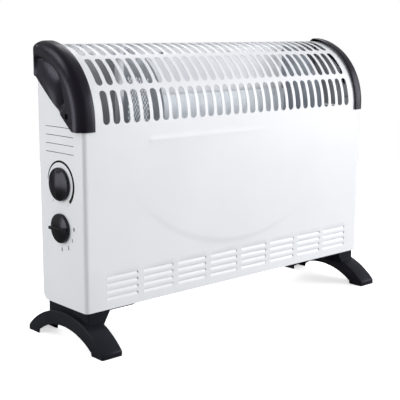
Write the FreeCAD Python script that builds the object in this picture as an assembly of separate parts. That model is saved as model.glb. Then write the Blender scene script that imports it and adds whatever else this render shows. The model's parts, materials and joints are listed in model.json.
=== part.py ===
import FreeCAD
import Part
import math
import os
from FreeCAD import Rotation, Vector

# Free-standing convector heater, in millimetres.
# The origin is on the floor under the middle of the body.
# +X runs to the heater's right as seen from its front, +Y to its back, +Z up.

# Body
body_width = 560.0
body_depth = 102.5
body_lift = 53.0            # floor to the lower edge of the casing
front_height = 248.0        # lower edge to where the front starts to curve back
sheet = 0.7                 # casing, rear panel, base and inner sheets
bend_radius = 6.0           # outer radius of the two front corners
top_bend = 8.0              # outer radius where the grille turns down at the back
corner_round = 9.0          # lower rear corners of the sides, the back and the base
seam = 0.3                  # clearance between pieces that are fitted together
past = 1.0                  # cutters run this far past a face
close = 0.01                # edges this near to a plane lie on it
return_flange = 16.0        # folded edge that the rear panel is screwed to
top_flange = 14.0           # folded edge along the top of the back

# Grille in the curved top
slot_count = 30
slot_rows = 3
slot_pitch = 16.73
slot_width = 11.0
slot_row_gap = 6.9
grille_margin = 11.4        # last row to the top of the curve, along the sheet

# Pressed relief on the front
relief_radius = 267.0
relief_low = 61.0           # lowest point of the arc above the lower edge
relief_crease = 227.0       # straight upper edge above the lower edge
relief_height = 3.0
relief_half_span = 210.0    # the relief fades out this far from the middle
relief_arc_border = 9.0
relief_crease_border = 4.0

# Louvres low on the front and the back
louvre_columns = 8
louvre_rows = 4
louvre_length = 53.6
louvre_column_pitch = 62.86
louvre_row_pitch = 9.63
louvre_height = 5.3
louvre_first = 10.8         # lowest bend line above the lower edge
louvre_press = 3.0          # how far the upper edge is pressed in

# Slits in the two sides
slit_count = 4
slit_pitch = 11.3
slit_length = 65.0
slit_height = 1.0
slit_start = 22.0           # behind the front
slit_first = 209.3          # lowest slit above the lower edge

# End caps
cap_side = 7.0              # stands out from the side
cap_lip = 3.0               # stands out from the front
cap_rise = 2.0              # the cap's curve is centred this much higher
cap_wrap = 18.0             # laps onto the front
cap_wall = 2.2
cap_drop = 8.0              # reaches below the start of the curve
cap_toe = 17.0              # length of the lower edge
cap_heel = 63.0             # lower rear corner above the start of the curve
cap_round = 9.0             # rounding of the outer edge
scoop_along = 73.0          # scoop centre from the toe, along the slanted edge
scoop_up = 19.0             # and square to that edge
scoop_half_length = 38.0
scoop_half_width = 14.5
scoop_lift = 2.0            # scoop's own axis outside the side face
cap_screw_along = 19.6
cap_screw_up = 9.0
cap_overlap = 4.0           # side sheet behind the slanted edge
cap_ear = 8.0               # radius of the sheet ear that takes the screw
cap_boss = 6.0

# Feet
foot_length = 178.0
foot_width = 32.8
foot_proud = 2.7            # stands out from the side
foot_tip = 7.0
foot_crown = 44.3           # top of the arch above the floor
foot_pad = 26.0             # length of each pad on the floor
foot_pad_step = 5.0
foot_arch = 25.0            # underside of the arch above the floor
foot_wall = 3.0
foot_edge = 1.2
block_inset = 2.0           # behind the side of the body
block_width = 28.0
block_taper = 4.0           # inner face leans in towards the arch
block_end_inset = 3.5       # behind the front and before the back of the body
block_corner = 5.0
foot_flange_width = 66.0
foot_flange = 3.0
foot_flange_inset = 8.0

# Controls on the left side
control_back = 54.0         # both axes behind the front
thermostat_height = 167.6   # above the lower edge
selector_height = 108.0
thermostat_knob_radius = 22.4
selector_knob_radius = 20.0
selector_tilt = 4.0         # degrees of the grip above level at rest
knob_gap = 0.6
knob_reach = 9.8            # top of the grip from the side
knob_skirt = 4.0
knob_bevel = 1.5
knob_wall = 2.0
knob_hub = 8.0
knob_hollow = 2.1
knob_dish = 1.2             # depth of the two finger hollows
grip_top = 4.4
grip_base = 9.0
grip_waist = 0.45           # share of the grip's height where its flanks are hollowed most
rim_grooves = 44
rim_groove = 0.6
spindle_radius = 3.0
spindle_flat = 1.2
spindle_play = 0.05
spindle_seat = 15.0         # length held in the control's body
knob_floor = 5.8            # grip left above the spindle's end
bush_radius = 5.0
thermostat_width = 34.0
thermostat_tall = 46.0
thermostat_deep = 22.0
selector_size = 38.0
selector_deep = 27.0
control_edge = 1.5
control_screw_spacing = 28.0
blade_width = 9.0
blade_length = 40.0
blade_thick = 1.2
blade_stand = 5.0
tab_width = 6.3
tab_thick = 0.8
tab_length = 9.0
tab_pitch = 8.0
selector_tab_count = 4

# Heating chamber
left_bulkhead_from_side = 140.0
right_bulkhead_from_side = 90.0
bulkhead_gap = 6.0          # to the front and to the back
bulkhead_top_gap = 3.0      # to the curved sheet
bulkhead_foot = 12.0
mesh_low = 225.0            # window in the left bulkhead, above the lower edge
mesh_from_top = 45.5        # window's upper edge below the top of the curve
mesh_front = 36.0           # window's front edge behind the front
mesh_rear = 90.0
mesh_border = 5.0
mesh_pitch_y = 6.2
mesh_pitch_z = 8.0
mesh_strand = 1.6
reflector_gap = 12.0        # from the front and from the back
reflector_low = 22.0
rear_reflector_high = 274.0
front_reflector_high = 236.0
hem = 5.0
low_element_height = 62.0
high_element_height = 122.0
fin_reach = 27.0
fin_thick = 2.4
fin_core = 8.5
fin_end_gap = 16.0          # from each bulkhead
rod_radius = 5.0
rod_overhang = 22.0         # beyond each bulkhead
bush_outer = 9.0
bush_flange = 13.0
bush_flange_thick = 4.0
bush_nose = 6.0
cutout_height = 190.0
cutout_back = 30.0
cutout_radius = 8.0
cutout_nose = 7.0           # radius of the disc in the bulkhead's hole
cutout_deep = 9.0
cutout_ear = 24.0

# Mains inlet
gland_from_side = 42.0
gland_gap = 8.0             # collar above the louvres
gland_bore = 3.75
gland_body = 7.0
gland_collar = 11.0
gland_collar_thick = 5.0
gland_nut_thick = 5.0
gland_tail = 12.0
terminal_from_side = 58.0
terminal_long = 34.0
terminal_wide = 20.0
terminal_tall = 15.0
terminal_ways = 3
terminal_bore = 3.0         # radius of a wire hole
terminal_well = 2.4         # radius of a screw well

# Base plate
base_flange_gap = 1.2       # turned-up edges end this far below the lowest louvre
inlet_count = 14
inlet_rows = 2
inlet_length = 26.0
inlet_width = 7.0
inlet_pitch = 22.0
inlet_row_pitch = 40.0

# Screws
screw_shank = 1.9
screw_head = 3.6
screw_head_tall = 2.2
screw_head_round = 1.0
screw_length = 8.0
screw_cross = 0.9           # width of the recess
screw_cross_arm = 2.2
screw_cross_deep = 1.1
side_screw_rows = 4
rear_screw_inset = 9.0
top_screw_count = 4

# Places that follow from the sizes
half_width = body_width / 2
front_y = -body_depth / 2
rear_y = body_depth / 2
casing_rear = rear_y - sheet
curve_radius = body_depth
curve_z = body_lift + front_height
cap_bottom = curve_z - cap_drop
toe_y = front_y + cap_toe
heel_z = curve_z + cap_heel
slant_length = math.hypot(rear_y - toe_y, heel_z - cap_bottom)
slant = ((rear_y - toe_y) / slant_length, (heel_z - cap_bottom) / slant_length)
control_y = front_y + control_back
thermostat_z = body_lift + thermostat_height
selector_z = body_lift + selector_height
left_bulkhead_x = -half_width + left_bulkhead_from_side
right_bulkhead_x = half_width - right_bulkhead_from_side
floor_top = body_lift + sheet
mesh_high = front_height + curve_radius - mesh_from_top
base_flange = louvre_first - base_flange_gap
louvre_top = louvre_first + (louvre_rows - 1) * louvre_row_pitch + louvre_height
gland_z = body_lift + louvre_top + gland_gap + gland_collar
AXIS_X = Vector(1, 0, 0)
AXIS_Y = Vector(0, 1, 0)
AXIS_Z = Vector(0, 0, 1)


def block(x0, x1, y0, y1, z0, z1):
    """Box between two corners."""
    return Part.makeBox(x1 - x0, y1 - y0, z1 - z0, Vector(x0, y0, z0))


def rod(start, axis, radius, length):
    """Cylinder from a point along an axis."""
    return Part.makeCylinder(radius, length, start, axis)


def line(a, b):
    return Part.LineSegment(a, b).toShape()


def arc(a, middle, b):
    return Part.Arc(a, middle, b).toShape()


def prism(edges, sweep):
    """Solid swept from a closed flat outline."""
    return Part.Face(Part.Wire(Part.__sortEdges__(edges))).extrude(sweep)


def polygon(points):
    """Edges of a closed polygon."""
    return [line(a, b) for a, b in zip(points, points[1:] + points[:1])]


def mirrored(shape):
    """The same piece on the other side of the heater."""
    return shape.mirror(Vector(0, 0, 0), AXIS_X)


def corner_cut(corner, sweep, inward_a, inward_b):
    """Cutter that rounds off one square corner of a sheet; the sweep runs through the sheet."""
    a = inward_a * corner_round
    b = inward_b * corner_round
    middle = corner + (a + b) * (1 - math.sqrt(0.5))
    edges = [
        arc(corner + a, middle, corner + b),
        line(corner + b, corner),
        line(corner, corner + a),
    ]
    return prism(edges, sweep)


def screw(seat, axis):
    """Pan-head screw: seat is under the head, axis runs out of the head."""
    head = rod(Vector(0, 0, 0), AXIS_Z, screw_head, screw_head_tall)
    head = head.makeFillet(screw_head_round, [head.Edges[0]])
    shank = rod(Vector(0, 0, -screw_length), AXIS_Z, screw_shank, screw_length)
    body = head.fuse(shank)
    arm = screw_cross_arm
    floor_z = screw_head_tall - screw_cross_deep
    for half_x, half_y in ((arm, screw_cross / 2), (screw_cross / 2, arm)):
        body = body.cut(block(-half_x, half_x, -half_y, half_y, floor_z, screw_head_tall + past))
    body.Placement = FreeCAD.Placement(seat, Rotation(AXIS_Z, axis))
    return body


def screw_holes(seats, axis, depth):
    """Holes for screws that are fitted at the same seats."""
    return [rod(seat - axis * depth, axis, screw_shank + seam / 2, 2 * depth) for seat in seats]


def slanted(along, up, x=0.0):
    """Point on a cap, along its slanted edge from the toe and square to it."""
    y = toe_y + along * slant[0] - up * slant[1]
    z = cap_bottom + along * slant[1] + up * slant[0]
    return Vector(x, y, z)


def top_curve(x, radius, rear, corner, centre_z=curve_z):
    """Edges over the curve: large arc from the front, then the small arc that turns down the back."""
    small_y = rear - corner
    small_z = centre_z + math.sqrt((radius - corner) ** 2 - (rear_y - small_y) ** 2)
    turn = math.atan2(small_z - centre_z, small_y - rear_y)
    start = Vector(x, rear_y - radius, centre_z)
    half = (math.pi + turn) / 2
    middle = Vector(x, rear_y + radius * math.cos(half), centre_z + radius * math.sin(half))
    joint = Vector(x, rear_y + radius * math.cos(turn), centre_z + radius * math.sin(turn))
    bend = Vector(x, small_y + corner * math.cos(turn / 2), small_z + corner * math.sin(turn / 2))
    end = Vector(x, rear, small_z)
    return [arc(start, middle, joint), arc(joint, bend, end)], start, end


def relief():
    """Raised lens on the front, as a solid standing on the front plane."""
    centre_z = body_lift + relief_low + relief_radius
    wires = []
    for rise, shrink_arc, shrink_top in (
        (0.0, 0.0, 0.0),
        (relief_height, relief_arc_border, relief_crease_border),
    ):
        radius = relief_radius - shrink_arc
        top_z = body_lift + relief_crease - shrink_top
        reach = math.sqrt(radius ** 2 - (centre_z - top_z) ** 2)
        y = front_y - rise
        left = Vector(-reach, y, top_z)
        right = Vector(reach, y, top_z)
        low = Vector(0, y, centre_z - radius)
        wires.append(Part.Wire([line(left, right), arc(right, low, left)]))
    pad = Part.makeLoft(wires, True, True)
    drum_radius = (relief_half_span ** 2 + relief_height ** 2) / (2 * relief_height)
    drum_y = front_y - relief_height + drum_radius
    drum = rod(Vector(0, drum_y, body_lift), AXIS_Z, drum_radius, front_height)
    return pad.common(drum)


def louvres(face_y, inward):
    """Windows and pressed blades of a louvre field: inward is +1 on the front, -1 on the back."""
    windows = []
    blades = []
    first_x = -louvre_column_pitch * (louvre_columns - 1) / 2
    for column in range(louvre_columns):
        middle = first_x + column * louvre_column_pitch
        x0 = middle - louvre_length / 2
        for row in range(louvre_rows):
            low = body_lift + louvre_first + row * louvre_row_pitch
            high = low + louvre_height
            skin = sorted((face_y - inward * sheet, face_y + 2 * inward * sheet))
            windows.append(block(x0, x0 + louvre_length, skin[0], skin[1], low, high))
            section = [
                Vector(x0, face_y, low - sheet / 2),
                Vector(x0, face_y, low),
                Vector(x0, face_y + inward * louvre_press, high),
                Vector(x0, face_y + inward * (louvre_press + sheet), high),
                Vector(x0, face_y + inward * sheet, low),
                Vector(x0, face_y + inward * sheet, low - sheet / 2),
            ]
            blades.append(prism(polygon(section), AXIS_X * louvre_length))
    return windows, blades


def grille_slots():
    """Round-ended cutters, laid along the curve in rows and across it in columns."""
    arc_length = math.pi / 2 * curve_radius - grille_margin
    row_length = (arc_length - (slot_rows - 1) * slot_row_gap) / slot_rows
    half_turn = row_length / curve_radius / 2
    half_length = curve_radius * math.sin(half_turn)
    round_end = slot_width / 2
    straight = half_length - round_end
    sink = curve_radius * math.cos(half_turn) - 2 * sheet
    cutters = []
    for row in range(slot_rows):
        turn = row * (row_length + slot_row_gap) / curve_radius + half_turn
        out = Vector(0, -math.cos(turn), math.sin(turn))
        along = Vector(0, math.sin(turn), math.cos(turn))
        for column in range(slot_count):
            x = (column - (slot_count - 1) / 2) * slot_pitch
            middle = Vector(x, rear_y, curve_z) + out * sink
            side = AXIS_X * round_end
            low = middle - along * straight
            high = middle + along * straight
            edges = [
                line(low - side, high - side),
                arc(high - side, high + along * round_end, high + side),
                line(high + side, low + side),
                arc(low + side, low - along * round_end, low - side),
            ]
            cutters.append(prism(edges, out * (curve_radius + 2 * sheet - sink)))
    return cutters


def side_sheet():
    """Upper part of the left side, cut along the slant, with the ear for the cap's screw."""
    edge_rise = cap_overlap / slant[0]
    rise_per_y = slant[1] / slant[0]
    start_y = toe_y + (curve_z - cap_bottom - edge_rise) / rise_per_y
    end_z = cap_bottom + edge_rise + (casing_rear - toe_y) * rise_per_y
    outline = [
        Vector(-half_width, start_y, curve_z),
        Vector(-half_width, casing_rear, end_z),
        Vector(-half_width, casing_rear, curve_z - sheet),
        Vector(-half_width, start_y, curve_z - sheet),
    ]
    panel = prism(polygon(outline), AXIS_X * sheet)
    ear = rod(slanted(cap_screw_along, cap_screw_up, -half_width), AXIS_X, cap_ear, sheet)
    flange_z0 = floor_top + base_flange + return_flange
    flange = block(-half_width, -half_width + return_flange, casing_rear - sheet, casing_rear,
                   flange_z0, end_z - sheet)
    return panel.fuse([ear, flange])


def cap_screw_seat():
    """Where the screw head sits on the cap's boss."""
    return slanted(cap_screw_along, cap_screw_up, -half_width - sheet - seam)


def side_flange_seats():
    """Screws that hold the rear panel to the left side's folded edge."""
    low = floor_top + base_flange + return_flange + rear_screw_inset
    high = heel_z - rear_screw_inset
    step = (high - low) / (side_screw_rows - 1)
    x = -half_width + return_flange / 2
    return [Vector(x, rear_y, low + i * step) for i in range(side_screw_rows)]


def rear_panel_top():
    """Upper edge of the rear panel, where the grille's back bend starts."""
    return top_curve(0, curve_radius, casing_rear, top_bend)[2].z - seam


def top_flange_seats():
    """Screws along the top of the back."""
    step = (body_width - 2 * cap_wrap) / top_screw_count
    z = rear_panel_top() - top_flange / 2
    return [Vector((i - (top_screw_count - 1) / 2) * step, rear_y, z) for i in range(top_screw_count)]


def base_flange_seats():
    """Screws along the bottom of the back."""
    x = half_width - louvre_column_pitch
    z = floor_top + base_flange / 2
    return [Vector(-x, rear_y, z), Vector(0, rear_y, z), Vector(x, rear_y, z)]


def rear_seats():
    left = side_flange_seats()
    right = [Vector(-seat.x, seat.y, seat.z) for seat in left]
    return left + right + top_flange_seats() + base_flange_seats()


def control_seats():
    """Screws that hold the two controls, hidden under the knobs."""
    half = control_screw_spacing / 2
    seats = []
    for z in (thermostat_z, selector_z):
        seats += [Vector(-half_width, control_y, z - half), Vector(-half_width, control_y, z + half)]
    return seats


def casing_plan(z0, z1, inset):
    """Block with the plan of the body, its front corners rounded, drawn in all round."""
    x = half_width - inset
    y0 = front_y + inset
    y1 = casing_rear - inset
    r = bend_radius - inset
    k = r * (1 - math.sqrt(0.5))
    edges = [
        line(Vector(-x, y1, z0), Vector(-x, y0 + r, z0)),
        arc(Vector(-x, y0 + r, z0), Vector(-x + k, y0 + k, z0), Vector(-x + r, y0, z0)),
        line(Vector(-x + r, y0, z0), Vector(x - r, y0, z0)),
        arc(Vector(x - r, y0, z0), Vector(x - k, y0 + k, z0), Vector(x, y0 + r, z0)),
        line(Vector(x, y0 + r, z0), Vector(x, y1, z0)),
        line(Vector(x, y1, z0), Vector(-x, y1, z0)),
    ]
    return prism(edges, AXIS_Z * (z1 - z0))


def front_casing():
    walls = casing_plan(body_lift, curve_z, 0).cut(casing_plan(body_lift - past, curve_z + past, sheet))
    walls = walls.cut(block(-half_width + sheet, half_width - sheet, casing_rear - 2 * sheet, rear_y,
                            body_lift - past, curve_z + past))
    x = -half_width
    outer, outer_start, outer_end = top_curve(x, curve_radius, casing_rear, top_bend)
    inner, inner_start, inner_end = top_curve(x, curve_radius - sheet, casing_rear - sheet, top_bend - sheet)
    drop = AXIS_Z * top_flange
    edges = outer + inner + [
        line(outer_start, inner_start),
        line(outer_end, outer_end - drop),
        line(outer_end - drop, inner_end - drop),
        line(inner_end - drop, inner_end),
    ]
    curve = prism(edges, AXIS_X * body_width).cut(grille_slots())
    side = side_sheet()
    pad = relief()
    windows, blades = louvres(front_y, 1)
    shell = walls.fuse([curve, side, mirrored(side), pad])
    inner_pad = pad.copy()
    inner_pad.translate(AXIS_Y * sheet)
    holes = [inner_pad] + windows
    slits = []
    for i in range(slit_count):
        z = body_lift + slit_first + i * slit_pitch
        y = front_y + slit_start
        slits.append(block(-half_width - past, -half_width + 2 * sheet, y, y + slit_length,
                           z - slit_height / 2, z + slit_height / 2))
    slits += screw_holes([cap_screw_seat()], AXIS_X, 4 * sheet)
    holes += slits + [mirrored(slit) for slit in slits]
    holes += screw_holes(control_seats(), AXIS_X, 2 * sheet)
    for z in (thermostat_z, selector_z):
        start = Vector(-half_width - past, control_y, z)
        holes.append(rod(start, AXIS_X, bush_radius + seam, 2 * sheet + past))
    holes += screw_holes(rear_seats(), AXIS_Y, 4 * sheet)
    corner = corner_cut(Vector(-half_width, rear_y, body_lift), AXIS_X * sheet, -AXIS_Y, AXIS_Z)
    holes += [corner, mirrored(corner)]
    return shell.cut(holes).fuse(blades).removeSplitter()


def rear_panel():
    top = rear_panel_top()
    panel = block(-half_width, half_width, casing_rear, rear_y, body_lift, top)
    windows, blades = louvres(rear_y, -1)
    gland = Vector(-half_width + gland_from_side, casing_rear - past, gland_z)
    holes = windows + screw_holes(rear_seats(), AXIS_Y, 2 * sheet)
    holes.append(rod(gland, AXIS_Y, gland_body + seam, sheet + 2 * past))
    corner = corner_cut(Vector(-half_width, casing_rear, body_lift), AXIS_Y * sheet, AXIS_X, AXIS_Z)
    holes += [corner, mirrored(corner)]
    return panel.cut(holes).fuse(blades).removeSplitter()


def base_plate():
    fit = sheet + seam
    x = half_width - fit
    y0 = front_y + fit
    y1 = casing_rear - seam
    plate = casing_plan(body_lift, floor_top, fit)
    plate = plate.fuse(block(-x, x, y1 - 2 * fit, y1, body_lift, floor_top))
    clear = bend_radius + seam
    top = body_lift + base_flange
    flanges = [
        block(-x + clear, x - clear, y0, y0 + sheet, body_lift, top),
        block(-x + clear, x - clear, y1 - sheet, y1, body_lift, top),
        block(-x, -x + sheet, y0 + clear, y1 - clear, body_lift, top),
        block(x - sheet, x, y0 + clear, y1 - clear, body_lift, top),
    ]
    holes = []
    for row in range(inlet_rows):
        y = (row - (inlet_rows - 1) / 2) * inlet_row_pitch
        for column in range(inlet_count):
            middle = (column - (inlet_count - 1) / 2) * inlet_pitch
            straight = (inlet_length - inlet_width) / 2
            holes.append(block(middle - inlet_width / 2, middle + inlet_width / 2,
                               y - straight, y + straight, body_lift - past, floor_top + past))
            for end in (y - straight, y + straight):
                start = Vector(middle, end, body_lift - past)
                holes.append(rod(start, AXIS_Z, inlet_width / 2, sheet + 2 * past))
    holes += screw_holes(base_flange_seats(), AXIS_Y, 4 * sheet)
    holes += screw_holes(foot_seats() + bulkhead_seats(), AXIS_Z, 2 * sheet + foot_flange)
    corner = corner_cut(Vector(-x, y1, body_lift), AXIS_Z * sheet, AXIS_X, -AXIS_Y)
    holes += [corner, mirrored(corner)]
    return plate.fuse(flanges).cut(holes).removeSplitter()


def cap_outline(x, inset, back=rear_y):
    """Side view of a cap that ends at the back plane given, with every edge drawn in by the inset."""
    reach = cap_lip - inset
    over, start, end = top_curve(x, curve_radius + reach, back - inset, top_bend + reach,
                                 curve_z + cap_rise)
    low = cap_bottom + inset
    drawn = slanted(0, inset)
    toe = Vector(x, drawn.y + (low - drawn.z) * slant[0] / slant[1], low)
    rear = back - inset
    heel = Vector(x, rear, drawn.z + (rear - drawn.y) * slant[1] / slant[0])
    front = Vector(x, front_y - reach, low)
    return over + [line(end, heel), line(heel, toe), line(toe, front), line(front, start)]


def scoop(extra):
    """Long rounded hollow for the fingers, lying along the slant."""
    along = Vector(0, slant[0], slant[1])
    middle = slanted(scoop_along, scoop_up, -half_width - cap_side - scoop_lift)
    length = scoop_half_length + extra
    width = scoop_half_width + extra
    ellipse = Part.Ellipse(middle + along * length, middle - AXIS_X * width, middle)
    half = ellipse.toShape(0, math.pi)
    outline = Part.Wire([half, line(half.Vertexes[-1].Point, half.Vertexes[0].Point)])
    return Part.Face(outline).revolve(middle, along, 360)


def outer_cap_edges(solid):
    """Edges of the cap's side face that follow the front and the curve."""
    x = -half_width - cap_side
    slant_limit = slanted(0, cap_wall)
    found = []
    for edge in solid.Edges:
        box = edge.BoundBox
        if abs(box.XMin - x) > close or abs(box.XMax - x) > close:
            continue
        middle = edge.valueAt((edge.FirstParameter + edge.LastParameter) / 2)
        offset = Vector(0, middle.y - slant_limit.y, middle.z - slant_limit.z)
        above = offset.z * slant[0] - offset.y * slant[1]
        if above > cap_wall and middle.z > cap_bottom + cap_wall and middle.y < rear_y - cap_wall / 2:
            found.append(edge)
    return found


def left_end_cap():
    x = -half_width - cap_side
    inner_x = -half_width - seam
    across = AXIS_X * (cap_side + cap_wrap)
    longer = prism(cap_outline(x, 0, rear_y + 2 * cap_round), across)
    longer = longer.makeFillet(cap_round, outer_cap_edges(longer))
    body = longer.common(prism(cap_outline(x, 0), across))
    hollow = prism(cap_outline(x + cap_wall, cap_wall), AXIS_X * (inner_x - x - cap_wall))
    radius = curve_radius + seam
    below = cap_bottom - cap_wall
    behind = rear_y + cap_wall
    top = Vector(inner_x, rear_y, curve_z + radius)
    diagonal = radius * math.sqrt(0.5)
    middle = Vector(inner_x, rear_y - diagonal, curve_z + diagonal)
    front = Vector(inner_x, rear_y - radius, curve_z)
    clearance = [
        arc(front, middle, top),
        line(top, Vector(inner_x, behind, top.z)),
        line(Vector(inner_x, behind, top.z), Vector(inner_x, behind, below)),
        line(Vector(inner_x, behind, below), Vector(inner_x, front.y, below)),
        line(Vector(inner_x, front.y, below), front),
    ]
    inside = prism(clearance, AXIS_X * (cap_wrap + cap_side))
    shell = body.cut([hollow, inside])
    seat = cap_screw_seat()
    boss = rod(Vector(x + cap_wall / 2, seat.y, seat.z), AXIS_X, cap_boss, inner_x - x - cap_wall / 2)
    skin = scoop(cap_wall).common(body)
    shell = shell.fuse([boss, skin]).cut(scoop(0))
    head_clear = screw_head + seam
    shell = shell.cut([
        rod(Vector(x - past, seat.y, seat.z), AXIS_X, head_clear, seat.x - x + past),
        rod(Vector(x - past, seat.y, seat.z), AXIS_X, screw_shank + seam / 2, cap_side + 2 * past),
    ])
    return shell.removeSplitter()


def foot_seats():
    """Screws that hold both feet, through their flanges into the base plate."""
    x = half_width - block_inset - (block_width + foot_flange_width) / 2
    y = body_depth / 2 - foot_flange_inset - 3 * screw_head
    z = body_lift - foot_flange
    return [Vector(sx * x, sy * y, z) for sx in (-1, 1) for sy in (-1, 1)]


def left_foot():
    half = foot_length / 2
    x0 = -half_width - foot_proud
    x1 = x0 + foot_width
    arch_half = half - foot_pad
    tip = Vector(x0, -half, foot_tip)
    crown = Vector(x0, 0, foot_crown)
    other_tip = Vector(x0, half, foot_tip)
    pad = Vector(x0, arch_half, foot_pad_step)
    vault = Vector(x0, 0, foot_arch)
    other_pad = Vector(x0, -arch_half, foot_pad_step)
    edges = [
        arc(tip, crown, other_tip),
        line(other_tip, Vector(x0, half, 0)),
        line(Vector(x0, half, 0), Vector(x0, arch_half, 0)),
        line(Vector(x0, arch_half, 0), pad),
        arc(pad, vault, other_pad),
        line(other_pad, Vector(x0, -arch_half, 0)),
        line(Vector(x0, -arch_half, 0), Vector(x0, -half, 0)),
        line(Vector(x0, -half, 0), tip),
    ]
    arch = prism(edges, AXIS_X * foot_width)
    curved = [e for e in arch.Edges if e.Curve.TypeId == "Part::GeomCircle"]
    long_edges = [e for e in curved if e.BoundBox.ZMax > foot_arch + foot_wall]
    arch = arch.makeFillet(foot_edge, long_edges)
    rise = foot_crown - foot_tip
    arch_radius = (half ** 2 + rise ** 2) / (2 * rise)
    drum = rod(Vector(x0, 0, foot_crown - arch_radius), AXIS_X, arch_radius - foot_wall, foot_width)
    room = block(x0 + foot_wall, x1 - foot_wall, -arch_half + foot_wall, arch_half - foot_wall,
                 0, foot_crown).common(drum)
    bx0 = -half_width + block_inset
    bx1 = bx0 + block_width
    by = body_depth / 2 - block_end_inset
    section = [
        Vector(bx0, -by, foot_arch),
        Vector(bx1 - block_taper, -by, foot_arch),
        Vector(bx1, -by, body_lift),
        Vector(bx0, -by, body_lift),
    ]
    pillar = prism(polygon(section), AXIS_Y * (2 * by))
    corners = [e for e in pillar.Edges if e.BoundBox.ZLength > foot_wall]
    pillar = pillar.makeFillet(block_corner, corners)
    pillar = pillar.cut(rod(Vector(bx0 - past, 0, foot_crown - arch_radius), AXIS_X, arch_radius - foot_wall,
                            block_width + 2 * past))
    pillar_room = block(bx0 + foot_wall, bx1 - block_taper - foot_wall, -by + foot_wall, by - foot_wall,
                        foot_arch, body_lift - foot_flange)
    fy = body_depth / 2 - foot_flange_inset
    flange = block(bx0 + foot_wall, bx0 + foot_flange_width, -fy, fy, body_lift - foot_flange, body_lift)
    holes = screw_holes(foot_seats(), AXIS_Z, 2 * foot_flange)
    return arch.fuse([pillar, flange]).cut([room, pillar_room] + holes).removeSplitter()


def spindle(z):
    """Control spindle with a flat for its knob, ending inside the grip."""
    end = -half_width - knob_reach + knob_floor
    seat = -half_width + sheet
    shaft = rod(Vector(end, control_y, z), AXIS_X, spindle_radius, seat + spindle_seat - end)
    flat_z = z + spindle_radius - spindle_flat
    flat = block(end - past, -half_width - knob_gap, control_y - spindle_radius, control_y + spindle_radius,
                 flat_z, z + 2 * spindle_radius)
    return shaft.cut(flat)


def knob(radius, z, turn):
    """Round knob with a grip bar, finger hollows, a grooved rim and a hollow underside."""
    base = -half_width - knob_gap
    face = base - knob_skirt
    top = -half_width - knob_reach
    axis_point = Vector(0, control_y, z)
    skirt = rod(Vector(face, control_y, z), AXIS_X, radius, knob_skirt)
    rim = [e for e in skirt.Edges if abs(e.BoundBox.XMax - face) < close]
    skirt = skirt.makeChamfer(knob_bevel, rim)
    skirt = skirt.cut([
        rod(Vector(face, control_y, z) + Rotation(AXIS_X, i * 360 / rim_grooves).multVec(AXIS_Y * radius),
            AXIS_X, rim_groove, knob_skirt)
        for i in range(rim_grooves)
    ])
    dish_reach = radius - 2 * knob_bevel
    dish_radius = (dish_reach ** 2 + knob_dish ** 2) / (2 * knob_dish)
    dish = Part.makeSphere(dish_radius, Vector(face + knob_dish - dish_radius, control_y, z))
    skirt = skirt.cut(dish)
    low = face + knob_dish
    waist = grip_top / 2 + (grip_base - grip_top) / 8
    mid_x = low + (top - low) * grip_waist
    z0 = z - radius
    left = (control_y - grip_base / 2, low)
    right = (control_y + grip_base / 2, low)

    def at(y, x):
        return Vector(x, y, z0)

    section = [
        arc(at(*left), at(control_y - waist, mid_x), at(control_y - grip_top / 2, top)),
        line(at(control_y - grip_top / 2, top), at(control_y + grip_top / 2, top)),
        arc(at(control_y + grip_top / 2, top), at(control_y + waist, mid_x), at(*right)),
        line(at(*right), at(*left)),
    ]
    bar = prism(section, AXIS_Z * (2 * radius))
    bar = bar.common(rod(Vector(top, control_y, z), AXIS_X, radius - knob_bevel, low - top))
    core = rod(Vector(face + knob_dish / 2, control_y, z), AXIS_X, knob_hub, base - face - knob_dish / 2)
    under = rod(Vector(base - knob_hollow, control_y, z), AXIS_X, radius - knob_wall, knob_hollow)
    body = skirt.cut(under).fuse([bar, core])
    grow = spindle_play
    end = top + knob_floor
    bore = rod(Vector(end - grow, control_y, z), AXIS_X, spindle_radius + grow, base - end + past)
    flat_z = z + spindle_radius - spindle_flat + grow
    bore = bore.cut(block(end - past, base + past, control_y - radius, control_y + radius,
                          flat_z, z + radius))
    body.rotate(axis_point, AXIS_X, turn)
    return body.cut(bore).removeSplitter()


def control_body(width, tall, deep, z):
    """Moulded control body behind the side sheet, with its bush and blind spindle bore."""
    x0 = -half_width + sheet
    body = block(x0, x0 + deep, control_y - width / 2, control_y + width / 2, z - tall / 2, z + tall / 2)
    body = body.makeFillet(control_edge, [e for e in body.Edges if e.BoundBox.XLength > deep / 2])
    bush = rod(Vector(x0 - sheet, control_y, z), AXIS_X, bush_radius, sheet)
    bore = rod(Vector(x0 - sheet, control_y, z), AXIS_X, spindle_radius + spindle_play,
               sheet + spindle_seat + seam)
    return body.fuse(bush).cut(bore)


def thermostat_body():
    body = control_body(thermostat_width, thermostat_tall, thermostat_deep, thermostat_z)
    holes = screw_holes(control_seats()[:2], AXIS_X, screw_length + past)
    return body.cut(holes)


def thermostat_blade():
    """Bimetal blade on a stud at the back of the thermostat."""
    x = -half_width + sheet + thermostat_deep
    low = thermostat_z - blade_length / 2
    stud = rod(Vector(x, control_y, low + blade_width / 2), AXIS_X, blade_width / 3, blade_stand)
    strip = block(x + blade_stand, x + blade_stand + blade_thick, control_y - blade_width / 2,
                  control_y + blade_width / 2, low, low + blade_length)
    contact_z = low + blade_length - blade_width / 2
    contact = rod(Vector(x, control_y, contact_z), AXIS_X, blade_width / 4, blade_stand)
    return stud.fuse([strip, contact])


def selector_body():
    body = control_body(selector_size, selector_size, selector_deep, selector_z)
    holes = screw_holes(control_seats()[2:], AXIS_X, screw_length + past)
    return body.cut(holes)


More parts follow.
